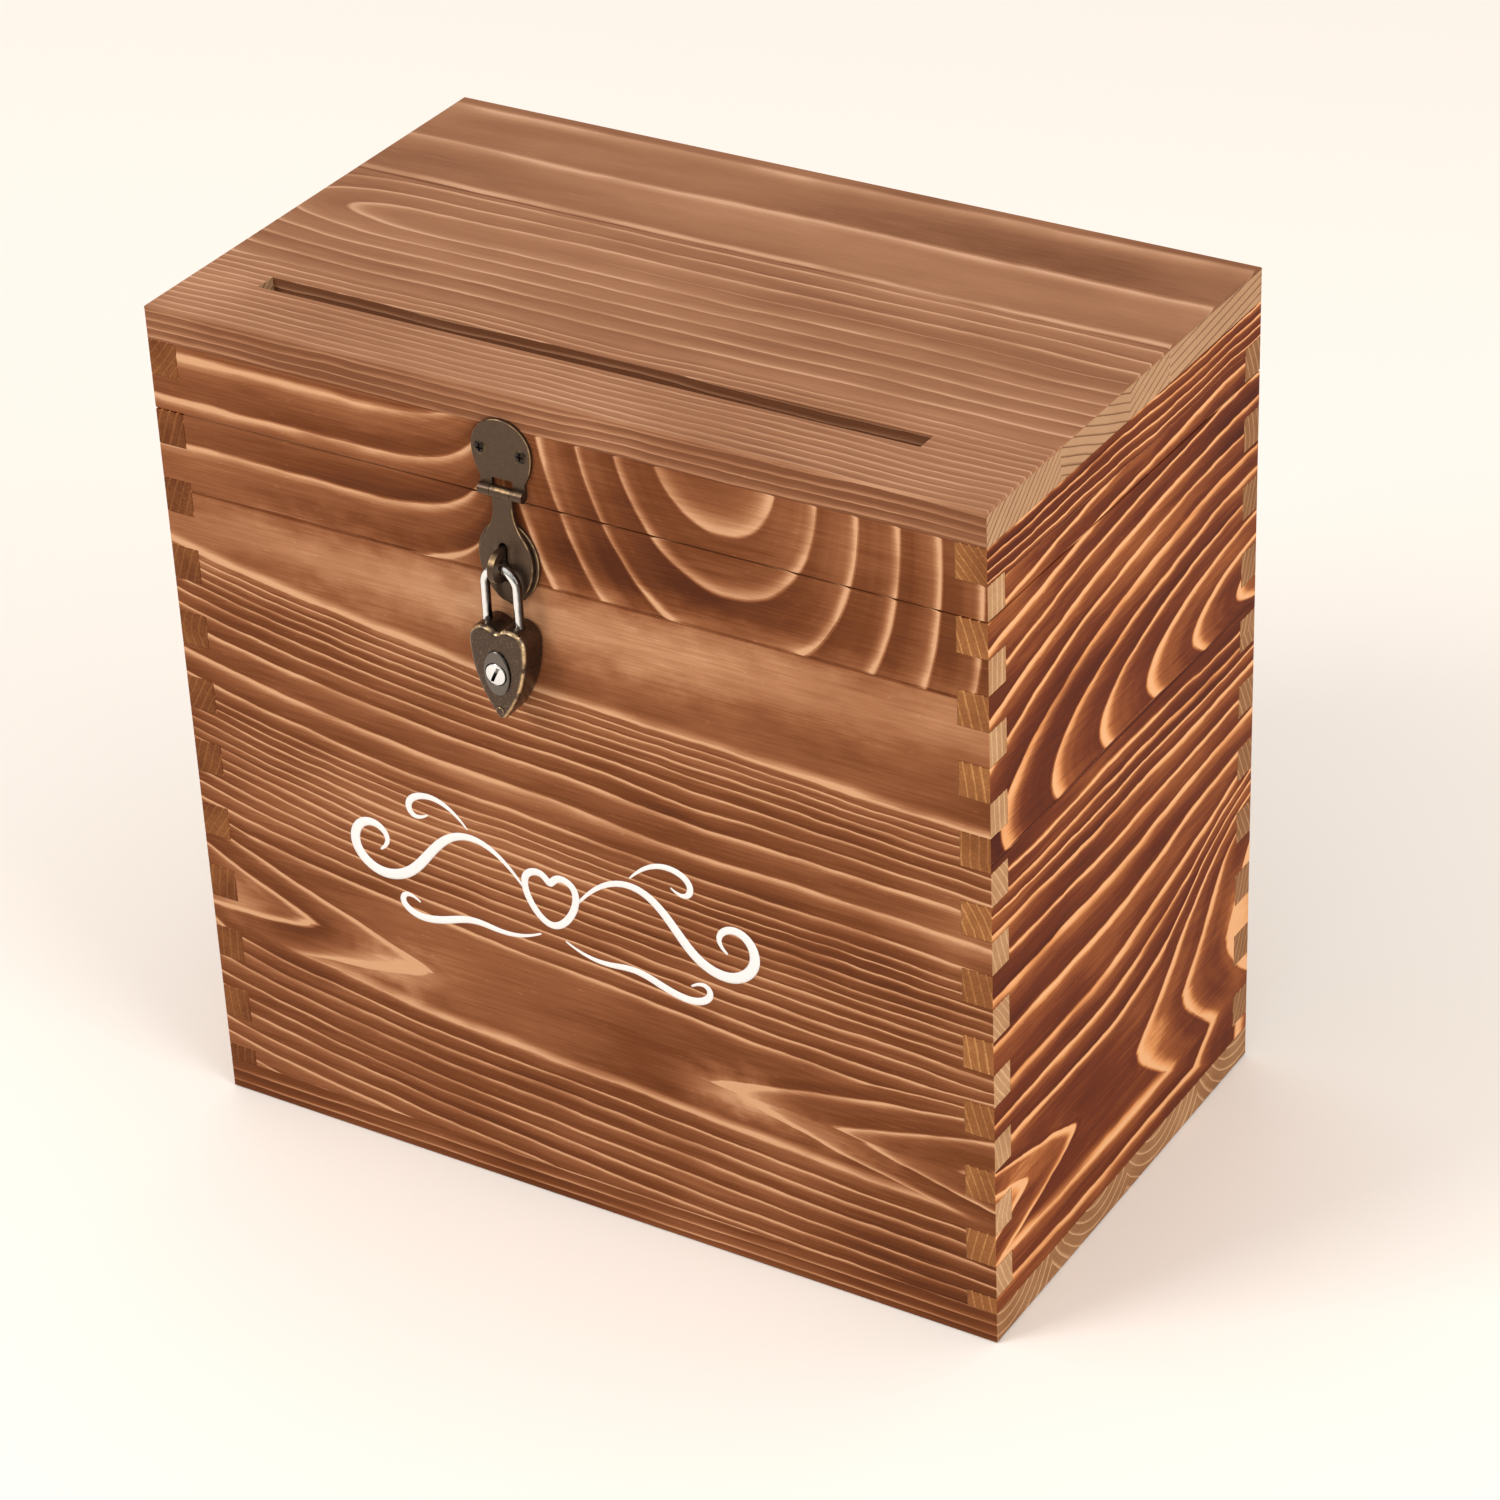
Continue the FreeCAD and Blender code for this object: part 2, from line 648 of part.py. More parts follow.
pad(hasp_tongue, leaf_face, tongue_sheet)
tongue_front = -(hasp_stand_off + tongue_sheet / 2)
soften(hasp_tongue, sheet_round,
       lambda edge: lies_at("y", tongue_front)(edge) and edge.BoundBox.ZMin < -tongue_neck_length.value)
slit = sketch_on(hasp_tongue, "XZ_Plane")
obround(slit, staple_thickness / 2 + slit_side_clearance, -eye_drop, staple_round + slit_end_clearance)
pocket(hasp_tongue, slit, reverse=True)
knuckle(hasp_tongue, -half_neck, half_neck, -hasp_stand_off, hasp_knuckle_radius)
pin_bore(hasp_tongue, half_neck, -hasp_stand_off, hasp_pin_bore)
pieces.append(hasp_tongue)

# The staple's plate, screwed to the body under the tongue
staple_plate = new_body("staple_plate", hasp_shift, front, pivot_height)
plate_face = sketch_on(staple_plate, "XZ_Plane")
half_base = staple_plate_width / 2
upper_curve = (arc_radius(half_base, eye_drop - staple_plate_top), True)
lower_curve = (arc_radius(half_base, staple_plate_end - eye_drop), True)
outline(plate_face,
        [(0, -staple_plate_end), (half_base, -eye_drop), (0, -staple_plate_top), (-half_base, -eye_drop)],
        {0: lower_curve, 1: upper_curve, 2: upper_curve, 3: lower_curve})
pad(staple_plate, plate_face, staple_sheet)
soften(staple_plate, sheet_round, lies_at("y", -staple_sheet))
seat = sketch_on(staple_plate, "XZ_Plane", staple_sheet)
half_staple = staple_thickness / 2
rectangle(seat, -half_staple, half_staple, -eye_drop - staple_round, -eye_drop + staple_round)
pocket(staple_plate, seat)
screw_holes(staple_plate, [(staple_screw_spacing / 2 * side, -eye_drop) for side in (-1, 1)],
            staple_sheet, from_front=True)
pieces.append(staple_plate)

# The staple itself: an upright eye that passes through the tongue's slit and carries the padlock
staple = new_body("staple", hasp_shift, front, eye_height)
eye_side = sketch_on(staple, "YZ_Plane", -half_staple)
outline(eye_side,
        [(0, -staple_round), (0, staple_round), (-eye_stand_off, staple_round),
         (-eye_stand_off - staple_round, 0), (-eye_stand_off, -staple_round)],
        {2: (staple_round, True), 3: (staple_round, True)})
pad(staple, eye_side, staple_thickness)
eye = sketch_on(staple, "YZ_Plane", half_staple)
circle(eye, -eye_stand_off, 0, eye_radius)
pocket(staple, eye)
pieces.append(staple)

# The padlock's shackle: a bent wire with a notch for the bolt and a long groove for the keeper pin
lock_face = front - eye_stand_off
crown_height = -eye_radius + wire_radius + wire_rest_gap
bend_height = crown_height - shackle_half_width
heart_top = crown_height - shackle_drop
heart_tip = heart_top - heart_height
nose_top = heart_top - bolt_top_drop
nose_low = nose_top - bolt_nose_height
plug_height = heart_top - plug_drop
keeper_height = heart_top - keeper_drop
leg_inner = shackle_half_width - wire_radius
bolt_travel = drive_pin_reach * 2
notch_depth = bolt_engagement + bolt_clearance
play_while_turning = release_travel * bolt_engagement / bolt_travel
notch_low = nose_low - play_while_turning - bolt_clearance
short_leg_end = notch_low - wire_radius
keeper_x = -leg_inner - keeper_bite + keeper_radius
groove_low = keeper_height - release_travel - keeper_radius - bolt_clearance
long_leg_end = groove_low - wire_radius

shackle = new_body("padlock_shackle", hasp_shift, lock_face, eye_height)
spine = sketch_on(shackle, "XZ_Plane")
leg_points = [(-shackle_half_width, long_leg_end), (-shackle_half_width, bend_height), (0, crown_height),
              (shackle_half_width, bend_height), (shackle_half_width, short_leg_end)]
vectors = [FreeCAD.Vector(x.value if isinstance(x, Size) else x, z.value, 0) for x, z in leg_points]
legs = [Part.LineSegment(vectors[0], vectors[1]),
        arc_between(vectors[1], vectors[2], shackle_half_width.value, False),
        arc_between(vectors[2], vectors[3], shackle_half_width.value, False),
        Part.LineSegment(vectors[3], vectors[4])]
run = [(spine.addGeometry(curve), *ends) for curve, ends in zip(legs, ((1, 2), (2, 1), (2, 1), (1, 2)))]
for number, (curve, first, last) in enumerate(run):
    pin_point(spine, curve, first, *leg_points[number])
    if number + 1 < len(run):
        following, its_first, _ = run[number + 1]
        spine.addConstraint(Sketcher.Constraint("Coincident", curve, last, following, its_first))
    else:
        pin_point(spine, curve, last, *leg_points[number + 1])
    if number in (1, 2):
        constrain(spine, "Radius", (curve,), shackle_half_width)
section = sketch_on(shackle, "XY_Plane", long_leg_end)
circle(section, -shackle_half_width, 0, wire_radius)
doc.recompute()
bent = shackle.newObject("PartDesign::AdditivePipe", "shackle_wire")
bent.Profile = section
bent.Spine = (spine, ["Edge1", "Edge2", "Edge3", "Edge4"])
doc.recompute()
cuts = sketch_on(shackle, "XZ_Plane", wire_radius * 2)
rectangle(cuts, leg_inner - wire_radius, leg_inner + notch_depth, notch_low, nose_top + bolt_clearance)
rectangle(cuts, -leg_inner - keeper_bite - bolt_clearance, -leg_inner + wire_radius,
          groove_low, keeper_height + keeper_radius + bolt_clearance)
pocket(shackle, cuts)
pieces.append(shackle)


# The padlock's heart-shaped case and its riveted back plate
half_heart = heart_width / 2
half_case = case_thickness / 2
case_back = half_case - back_plate_thickness
cavity_front = -half_case + plug_length
cavity_half = bolt_travel / 2 + bolt_arm_width / 2 + bolt_clearance
leg_bore = wire_radius + leg_clearance


def heart(sketch):
    """Two round lobes with a rounded cleft between them, and long sides down to a round tip."""
    lobe_x = half_heart - heart_lobe_radius
    lobe_z = heart_top - heart_lobe_radius
    side, meet_x, meet_z = side_to_tip(half_heart, lobe_z - heart_tip - heart_tip_radius, heart_tip_radius)
    reach = heart_lobe_radius + heart_cleft_radius
    cleft_x = lobe_x * heart_cleft_radius / reach
    cleft_z = lobe_z + root(reach * reach - lobe_x * lobe_x) * heart_lobe_radius / reach
    right = [(meet_x, heart_tip + heart_tip_radius - meet_z), (half_heart, lobe_z), (cleft_x, cleft_z)]
    left = [(-x, z) for x, z in right[::-1]]
    tip_curve = (heart_tip_radius, True)
    side_curve = (side, True)
    lobe_curve = (heart_lobe_radius, True)
    outline(sketch, [(0, heart_tip)] + right + left,
            {0: tip_curve, 1: side_curve, 2: lobe_curve, 3: (heart_cleft_radius, False),
             4: lobe_curve, 5: side_curve, 6: tip_curve})


case = new_body("padlock_case", hasp_shift, lock_face, eye_height)
heart_face = sketch_on(case, "XZ_Plane", -case_back)
heart(heart_face)
pad(case, heart_face, case_thickness - back_plate_thickness)
soften(case, case_round, lies_at("y", -half_case))
cavity = sketch_on(case, "XZ_Plane", -case_back)
cavity_low = plug_height - cavity_foot
rectangle(cavity, -cavity_half, cavity_half, cavity_low, nose_top + bolt_clearance)
pocket(case, cavity, case_back - cavity_front, reverse=True)
window = sketch_on(case, "XZ_Plane", bolt_nose_width / 2 + bolt_clearance)
rectangle(window, cavity_half - bolt_clearance, shackle_half_width, nose_low - bolt_clearance,
          nose_top + bolt_clearance)
pocket(case, window, bolt_nose_width + bolt_clearance * 2)
plug_bore = sketch_on(case, "XZ_Plane", half_case)
circle(plug_bore, 0, plug_height, plug_radius + pin_clearance)
pocket(case, plug_bore, plug_length)
for x, end in ((shackle_half_width, short_leg_end), (-shackle_half_width, long_leg_end)):
    leg_hole = sketch_on(case, "XY_Plane", heart_top)
    circle(leg_hole, x, 0, leg_bore)
    pocket(case, leg_hole, heart_top - end + bolt_clearance)
spring_room = spring_radius + spring_wire_radius + pin_clearance
spring_y = leg_bore + spring_room + pin_clearance
spring_height = keeper_height - keeper_radius - spring_room - bolt_clearance
spring_hole = sketch_on(case, "YZ_Plane", -cavity_half + bolt_clearance)
circle(spring_hole, spring_y, spring_height, spring_room)
pocket(case, spring_hole, spring_pocket_end - cavity_half + bolt_clearance)
keeper_end = leg_bore + pin_clearance
fixings = sketch_on(case, "XZ_Plane", -case_back)
circle(fixings, keeper_x, keeper_height, keeper_radius + pin_clearance / 2)
pocket(case, fixings, case_back + keeper_end, reverse=True)
rivet_height = heart_tip + rivet_rise
tip_hole = sketch_on(case, "XZ_Plane", half_case)
circle(tip_hole, 0, rivet_height, rivet_radius + pin_clearance / 2)
pocket(case, tip_hole)
pieces.append(case)

back_plate = new_body("padlock_back_plate", hasp_shift, lock_face, eye_height)
heart_face = sketch_on(back_plate, "XZ_Plane", -half_case)
heart(heart_face)
pad(back_plate, heart_face, back_plate_thickness)
soften(back_plate, sheet_round, lies_at("y", half_case))
holes = sketch_on(back_plate, "XZ_Plane", half_case)
circle(holes, 0, rivet_height, rivet_radius + pin_clearance / 2)
circle(holes, keeper_x, keeper_height, keeper_radius + pin_clearance / 2)
pocket(back_plate, holes)
pieces.append(back_plate)

# The rivet near the heart's tip, turned with a low domed head
rivet = new_body("padlock_rivet", hasp_shift, lock_face, eye_height)
stem = sketch_on(rivet, "XZ_Plane", -half_case)
circle(stem, 0, rivet_height, rivet_radius)
pad(rivet, stem, case_thickness)
head = sketch_on(rivet, "XZ_Plane", half_case)
circle(head, 0, rivet_height, rivet_head_radius)
pad(rivet, head, rivet_head_height)
soften(rivet, rivet_head_round, lies_at("y", -half_case - rivet_head_height))
pieces.append(rivet)

# The keeper pin that rides in the long leg's groove and keeps the shackle in the case
keeper = new_body("padlock_keeper_pin", hasp_shift, lock_face, eye_height)
keeper_section = sketch_on(keeper, "XZ_Plane", -half_case)
circle(keeper_section, keeper_x, keeper_height, keeper_radius)
pad(keeper, keeper_section, half_case + keeper_end - pin_clearance)
pieces.append(keeper)

# The oval rosette round the key plug, which also holds the plug in
rosette = new_body("padlock_rosette", hasp_shift, lock_face, eye_height)
oval = sketch_on(rosette, "XZ_Plane", half_case)
half_rosette = rosette_width / 2
end_height = rosette_height / 2 - rosette_end_radius
side, meet_x, meet_z = side_to_tip(half_rosette, end_height, rosette_end_radius)
end_z = end_height + meet_z
side_curve = (side, True)
end_curve = (rosette_end_radius, True)
outline(oval,
        [(meet_x, plug_height - end_z), (half_rosette, plug_height), (meet_x, plug_height + end_z),
         (-meet_x, plug_height + end_z), (-half_rosette, plug_height), (-meet_x, plug_height - end_z)],
        {0: side_curve, 1: side_curve, 2: end_curve, 3: side_curve, 4: side_curve, 5: end_curve})
pad(rosette, oval, rosette_thickness)
plug_opening = sketch_on(rosette, "XZ_Plane", half_case + rosette_thickness)
circle(plug_opening, 0, plug_height, plug_face_radius + pin_clearance)
pocket(rosette, plug_opening)
soften(rosette, rosette_round, lies_at("y", -half_case - rosette_thickness))
pieces.append(rosette)

# The key plug: a stepped cylinder with a keyway, and a drive pin on its inner end
plug = new_body("padlock_plug", hasp_shift, lock_face, eye_height)
barrel_end = sketch_on(plug, "XZ_Plane", -cavity_front)
circle(barrel_end, 0, plug_height, plug_radius)
pad(plug, barrel_end, plug_length - pin_clearance)
face_end = sketch_on(plug, "XZ_Plane", half_case - pin_clearance)
circle(face_end, 0, plug_height, plug_face_radius)
pad(plug, face_end, rosette_thickness + plug_proud + pin_clearance)
soften(plug, plug_round, lies_at("y", -half_case - rosette_thickness - plug_proud))
key_x = keyway_length / 2 * keyway_slant
key_z = keyway_length / 2
key_half = keyway_width / 2
keyway = sketch_on(plug, "XZ_Plane", half_case + rosette_thickness + plug_proud)
outline(keyway,
        [(-key_x - key_half, plug_height - key_z), (-key_x + key_half, plug_height - key_z),
         (key_x + key_half, plug_height + key_z), (key_x - key_half, plug_height + key_z)])
pocket(plug, keyway, keyway_depth)
drive = sketch_on(plug, "XZ_Plane", -cavity_front - drive_pin_length)
circle(drive, drive_pin_reach, plug_height + drive_pin_reach, drive_pin_radius)
pad(plug, drive, drive_pin_length)
pieces.append(plug)

# The bolt: a forked slide that the plug's drive pin moves sideways, out of the short leg's notch
bolt = new_body("padlock_bolt", hasp_shift, lock_face, eye_height)
arm_low = cavity_low + bolt_clearance
arm_x = drive_pin_reach
fork_half = drive_pin_radius + fork_clearance
drive_pin_orbit = drive_pin_reach * root(as_size(2))
fork_top = plug_height + drive_pin_orbit + drive_pin_radius + bolt_clearance
arm_face = sketch_on(bolt, "XZ_Plane", -case_back + bolt_clearance)
half_arm = bolt_arm_width / 2
outline(arm_face,
        [(arm_x - half_arm, arm_low), (arm_x - fork_half, arm_low), (arm_x - fork_half, fork_top),
         (arm_x + fork_half, fork_top), (arm_x + fork_half, arm_low), (arm_x + half_arm, arm_low),
         (arm_x + half_arm, nose_top), (arm_x - half_arm, nose_top)])
pad(bolt, arm_face, case_back - cavity_front - bolt_clearance * 2)
nose = sketch_on(bolt, "XZ_Plane", -bolt_nose_width / 2)
rectangle(nose, arm_x, leg_inner + bolt_engagement, nose_low, nose_top)
pad(bolt, nose, bolt_nose_width)
pieces.append(bolt)

# The coil spring that pushes the bolt home
spring_length = spring_pocket_end + arm_x - half_arm - pin_clearance * 2
coil = doc.addObject("Part::Helix", "spring_coil")
bind(coil, "Radius", spring_radius)
bind(coil, "Height", spring_length - spring_wire_radius * 2)
bind(coil, "Pitch", (spring_length - spring_wire_radius * 2) / spring_turns)
wire_end = doc.addObject("Part::Circle", "spring_wire_end")
wire_end.Placement = FreeCAD.Placement(FreeCAD.Vector(), FreeCAD.Rotation(FreeCAD.Vector(1, 0, 0), 90))
bind(wire_end, "Radius", spring_wire_radius)
put(wire_end, spring_radius, 0, 0)
spring = doc.addObject("Part::Sweep", "padlock_bolt_spring")
spring.Label = "padlock_bolt_spring"
spring.Sections = [wire_end]
spring.Spine = (coil, ["Edge1"])
spring.Solid = True
spring.Frenet = True
spring.Placement = FreeCAD.Placement(FreeCAD.Vector(), FreeCAD.Rotation(FreeCAD.Vector(0, 1, 0), 90))
put(spring, hasp_shift - spring_pocket_end + pin_clearance + spring_wire_radius, lock_face + spring_y,
    eye_height + spring_height)
pieces.append(spring)

doc.recompute()
for item in doc.Objects:
    if "Invalid" in item.State or "Error" in item.State:
        raise RuntimeError(f"{item.Label} failed to build: {item.State}")
for piece in pieces:
    if piece.Shape.isNull() or not piece.Shape.isValid():
        raise RuntimeError(f"{piece.Label} has no valid shape")

os.makedirs("parts", exist_ok=True)
for piece in pieces:
    piece.Shape.exportStep(f"parts/{piece.Label}.step")
    print(f"{piece.Label}: {len(piece.Shape.Solids)} solid, {piece.Shape.Volume:.1f} mm3")
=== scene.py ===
import json
import math
import bmesh
import bpy
from mathutils import Matrix, Vector, kdtree

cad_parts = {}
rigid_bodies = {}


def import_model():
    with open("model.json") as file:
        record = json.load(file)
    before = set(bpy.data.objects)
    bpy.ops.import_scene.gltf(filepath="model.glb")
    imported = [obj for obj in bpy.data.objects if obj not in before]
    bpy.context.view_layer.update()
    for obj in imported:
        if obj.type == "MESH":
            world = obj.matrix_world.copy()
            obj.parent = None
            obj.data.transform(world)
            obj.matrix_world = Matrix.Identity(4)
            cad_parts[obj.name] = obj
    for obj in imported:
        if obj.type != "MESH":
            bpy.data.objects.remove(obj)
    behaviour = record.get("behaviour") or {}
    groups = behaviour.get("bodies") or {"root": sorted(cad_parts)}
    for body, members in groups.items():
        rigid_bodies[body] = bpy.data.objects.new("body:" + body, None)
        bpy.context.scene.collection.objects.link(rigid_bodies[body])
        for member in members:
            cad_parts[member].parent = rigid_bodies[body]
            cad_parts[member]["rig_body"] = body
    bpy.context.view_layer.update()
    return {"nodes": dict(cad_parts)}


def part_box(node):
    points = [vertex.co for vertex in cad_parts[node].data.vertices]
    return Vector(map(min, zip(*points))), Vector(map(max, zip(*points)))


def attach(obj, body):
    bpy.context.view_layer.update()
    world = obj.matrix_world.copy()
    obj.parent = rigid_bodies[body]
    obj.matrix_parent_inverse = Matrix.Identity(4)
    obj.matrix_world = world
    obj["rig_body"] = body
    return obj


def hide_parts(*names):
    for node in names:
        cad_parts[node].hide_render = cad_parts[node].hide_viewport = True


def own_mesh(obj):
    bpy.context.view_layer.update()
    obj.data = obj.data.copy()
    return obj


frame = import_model()


# The walls of the box: pine boards about 9 mm thick, edge-glued from wider staves, torched,
# brushed and thinly varnished, and glued together through box joints at the four corners.
# Their arrises are eased by hand, so every joint shows as a fine line.
class Measure:
    """A value on a material's node tree, so that ring shapes read as plain arithmetic in millimetres."""

    def __init__(self, tree, socket):
        self.tree = tree
        self.socket = socket

    def feed(self, place, other):
        if isinstance(other, Measure):
            self.tree.links.new(other.socket, place)
        else:
            place.default_value = other

    def work(self, operation, *others):
        step = self.tree.nodes.new("ShaderNodeMath")
        step.operation = operation
        for place, other in zip(step.inputs, (self, *others)):
            self.feed(place, other)
        return Measure(self.tree, step.outputs[0])

    def __add__(self, other):
        return self.work("ADD", other)

    def __sub__(self, other):
        return self.work("SUBTRACT", other)

    def __rsub__(self, other):
        return self * -1 + other

    def __mul__(self, other):
        return self.work("MULTIPLY", other)

    def __truediv__(self, other):
        return self.work("DIVIDE", other)

    def __pow__(self, other):
        return self.work("POWER", other)

    def __abs__(self):
        return self.work("ABSOLUTE")

    def fade(self, low, high):
        """Rises smoothly from 0 at low to 1 at high."""
        step = self.tree.nodes.new("ShaderNodeMapRange")
        step.interpolation_type = "SMOOTHSTEP"
        for place, other in zip(step.inputs, (self, low, high)):
            self.feed(place, other)
        return Measure(self.tree, step.outputs[0])

    def beyond(self, joint):
        """0 up to a glue joint and 1 after it."""
        blur = 0.1
        return self.fade(joint - blur, joint + blur)

    def hill(self, middle, reach):
        """A smooth hill of height 1 that falls off either side of the middle."""
        steps = (self - middle) / reach
        return (steps * steps * -1).work("EXPONENT")

    def towards(self, other, share):
        return self + (other - self) * share


def blank_finish(label):
    """A new material, its node tree and its shader."""
    finish = bpy.data.materials.new(label)
    finish.use_nodes = True
    return finish, finish.node_tree, finish.node_tree.nodes["Principled BSDF"]


def own_parts(tree, kind):
    """The x, y and z of a piece's own coordinates: where it is in millimetres, or which way it faces."""
    where = tree.nodes.new("ShaderNodeTexCoord")
    split = tree.nodes.new("ShaderNodeSeparateXYZ")
    tree.links.new(where.outputs[kind], split.inputs[0])
    per_metre = 1000 if kind == "Object" else 1
    return [Measure(tree, socket) * per_metre for socket in split.outputs]


def noise(tree, along, across, depth, detail=2.0):
    """Soft random clouds from 0 to 1, on coordinates that are already scaled to the size of the clouds."""
    gather = tree.nodes.new("ShaderNodeCombineXYZ")
    for place, part in zip(gather.inputs, (along, across, depth)):
        tree.links.new(part.socket, place)
    clouds = tree.nodes.new("ShaderNodeTexNoise")
    clouds.inputs["Scale"].default_value = 1.0
    clouds.inputs["Detail"].default_value = detail
    tree.links.new(gather.outputs[0], clouds.inputs["Vector"])
    return Measure(tree, clouds.outputs[0])


def counted(height, low, high, lines, calm=()):
    """The ring number at a height: a whole number at each listed line, rising slowly up to a calm place."""
    last_share = 0.8
    marks = [(low, 0.0), (high, len(lines) + last_share)]
    marks += [(line, count + 1.0) for count, line in enumerate(lines)]
    for place, share in calm:
        below = max(mark for mark in marks if mark[0] < place)
        marks.append((place, below[1] + share))
    most = len(lines) + 1.0
    curve = height.tree.nodes.new("ShaderNodeFloatCurve")
    points = curve.mapping.curves[0].points
    for place, count in sorted(marks)[1:-1]:
        points.new((place - low) / (high - low), count / most)
    for point, (place, count) in zip(points, sorted(marks)):
        point.location = ((place - low) / (high - low), count / most)
        point.handle_type = "VECTOR"
    curve.mapping.update()
    height.tree.links.new(((height - low) / (high - low)).socket, curve.inputs["Value"])
    return Measure(height.tree, curve.outputs[0]) * most


def emboss(tree, shader, height, strength, depth):
    """The fine relief that a wire brush or a casting leaves in a surface, in metres."""
    relief = tree.nodes.new("ShaderNodeBump")
    relief.inputs["Strength"].default_value = strength
    relief.inputs["Distance"].default_value = depth
    tree.links.new(height.socket, relief.inputs["Height"])
    tree.links.new(relief.outputs[0], shader.inputs["Normal"])


def torched_pine(label, axes, rings, shades, seed, glue=(), blotches=(), contrast=1.0, level=0.0,
                 ends=(0.45, 0.3), edges=0.0, wobble=1.4):
    """Torched pine cut from solid growth rings: pale latewood lines on scorched brown, and end grain."""
    finish, tree, shader = blank_finish(label)
    places = dict(zip("XYZ", own_parts(tree, "Object")))
    along, across, depth = [places[axis] for axis in axes]

    # the ring that a place lies in, and how far out it lies between that ring and the next
    drift = 4.5
    slow = noise(tree, along * 0.016 + seed, across * 0.03, depth * 0.03) - 0.5
    quick = noise(tree, along * 0.11 + seed, across * 0.16, depth * 0.16, 3.0) - 0.5
    number = rings(along, across + slow * drift + quick * wobble, depth)
    part = number.work("FRACT")
    dice = tree.nodes.new("ShaderNodeTexWhiteNoise")
    dice.noise_dimensions = "1D"
    tree.links.new((number.work("FLOOR") + seed).socket, dice.inputs["W"])
    chance = Measure(tree, dice.outputs["Value"])

    # the pale line at the end of each ring's growth, sharp on its outer side
    sharpest, softest, tail_width = 4, 2.4, 0.07
    late = part ** (chance * sharpest + softest)
    tail = 1 - part.fade(0.0, tail_width)
    line = late.fade(0.2, 0.9).work("MAXIMUM", tail)

    # what the torch and the brush add: scorched clouds, fibres, streaks along the rings, flecks
    scorch = noise(tree, along * 0.012 + seed * 3, across * 0.04, depth * 0.05, 3.0) - 0.5
    fibre = noise(tree, along * 0.06 + seed, across * 1.5, depth * 1.5, 4.0) - 0.5
    streak = noise(tree, along * 0.02, number * 2.3 + seed, depth * 0.02, 3.0) - 0.5
    fleck = noise(tree, along * 0.35, across * 1.1 + seed, depth * 0.6, 1.0).fade(0.68, 0.8)
    glow = noise(tree, along * 0.03, across * 0.05 + seed, depth * 0.05).fade(0.3, 0.62)

    # all of it as one tone from dark to pale
    base_tone, growth, growth_bend = 0.19, 0.26, 1.7
    streak_share, fibre_share, scorch_share, fleck_share = 0.34, 0.3, 0.7, 0.1
    bright = (chance * 0.3 + 0.34) * (glow * 0.6 + 0.55)
    pale = part ** growth_bend * growth + line * bright + streak * streak_share + fibre * fibre_share
    pale = pale * contrast + scorch * scorch_share + fleck * fleck_share + (base_tone + level)
    ragged = 14
    for middle, height, reach, width, gain in blotches:
        pale = pale + along.hill(middle, reach) * (across + quick * ragged).hill(height, width) * gain
    glue_line, glue_edge, glue_dark = 0.15, 0.8, 0.3
    for joint in glue:
        pale = pale - (1 - abs(across - joint).fade(glue_line, glue_edge)) * glue_dark

    # the sawn ends and edges, which take the flame differently
    facing = dict(zip("XYZ", own_parts(tree, "Normal")))
    end, edge = [abs(facing[axis]).fade(0.6, 0.85) for axis in axes[:2]]
    end_level, end_gain = ends
    pale = pale + edge * edges
    pale = pale.towards(line * end_gain + scorch * 0.5 + fibre * 0.25 + end_level, end)

    # the colours of those tones, a touch greyer and yellower on end grain
    ramp = tree.nodes.new("ShaderNodeValToRGB")
    stops = ramp.color_ramp.elements
    while len(stops) < len(shades):
        stops.new(0.5)
    for stop, (position, colour) in zip(stops, shades):
        stop.position = position
        stop.color = (*colour, 1)
    tree.links.new(pale.socket, ramp.inputs[0])
    tint = tree.nodes.new("ShaderNodeHueSaturation")
    end_greyer, end_yellower, same_hue = 0.05, 0.012, 0.5
    tree.links.new(ramp.outputs[0], tint.inputs["Color"])
    tree.links.new((1 - end * end_greyer).socket, tint.inputs["Saturation"])
    tree.links.new((end * end_yellower + same_hue).socket, tint.inputs["Hue"])
    tree.links.new(tint.outputs[0], shader.inputs["Base Color"])

    # a thin varnish, smoother on the hard lines, which stand up where the brush has worn the rest
    varnish = 0.55
    tree.links.new((fibre * 0.2 - line * 0.06 + varnish).socket, shader.inputs["Roughness"])
    shader.inputs["Specular IOR Level"].default_value = 0.05
    emboss(tree, shader, line * 0.6 + fibre * 0.5, 0.3, 0.0004)
    return finish


def welded(label):
    """A copy of a CAD node's mesh with its seams closed and its empty triangles gone."""
    seam = 1e-6
    shape = bmesh.new()
    shape.from_mesh(frame["nodes"][label].data)
    bmesh.ops.remove_doubles(shape, verts=shape.verts, dist=seam)
    return shape


def stand_for(label, shape, finish, name):
    """Put a finished mesh in the place of a CAD node, on the node's own body."""
    mesh = bpy.data.meshes.new(name)
    shape.to_mesh(mesh)
    shape.free()
    mesh.materials.append(finish)
    piece = bpy.data.objects.new(name, mesh)
    bpy.context.scene.collection.objects.link(piece)
    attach(piece, frame["nodes"][label]["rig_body"])
    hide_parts(label)
    return piece


def eased_board(label, finish):
    """A board with its long arrises eased by a quarter of a millimetre."""
    flat, corner_turn, shortest, ease = math.radians(1), 0.7, 0.002, 0.00025
    shape = welded(label)
    bmesh.ops.dissolve_limit(shape, angle_limit=flat, verts=shape.verts, edges=shape.edges)
    arrises = [edge for edge in shape.edges
               if edge.is_manifold and edge.calc_face_angle() > corner_turn and edge.calc_length() > shortest]
    bmesh.ops.bevel(shape, geom=arrises, offset=ease, offset_type="OFFSET", affect="EDGES",
                    segments=2, profile=0.5, material=-1, clamp_overlap=True)
    return stand_for(label, shape, finish, f"{label}_eased")


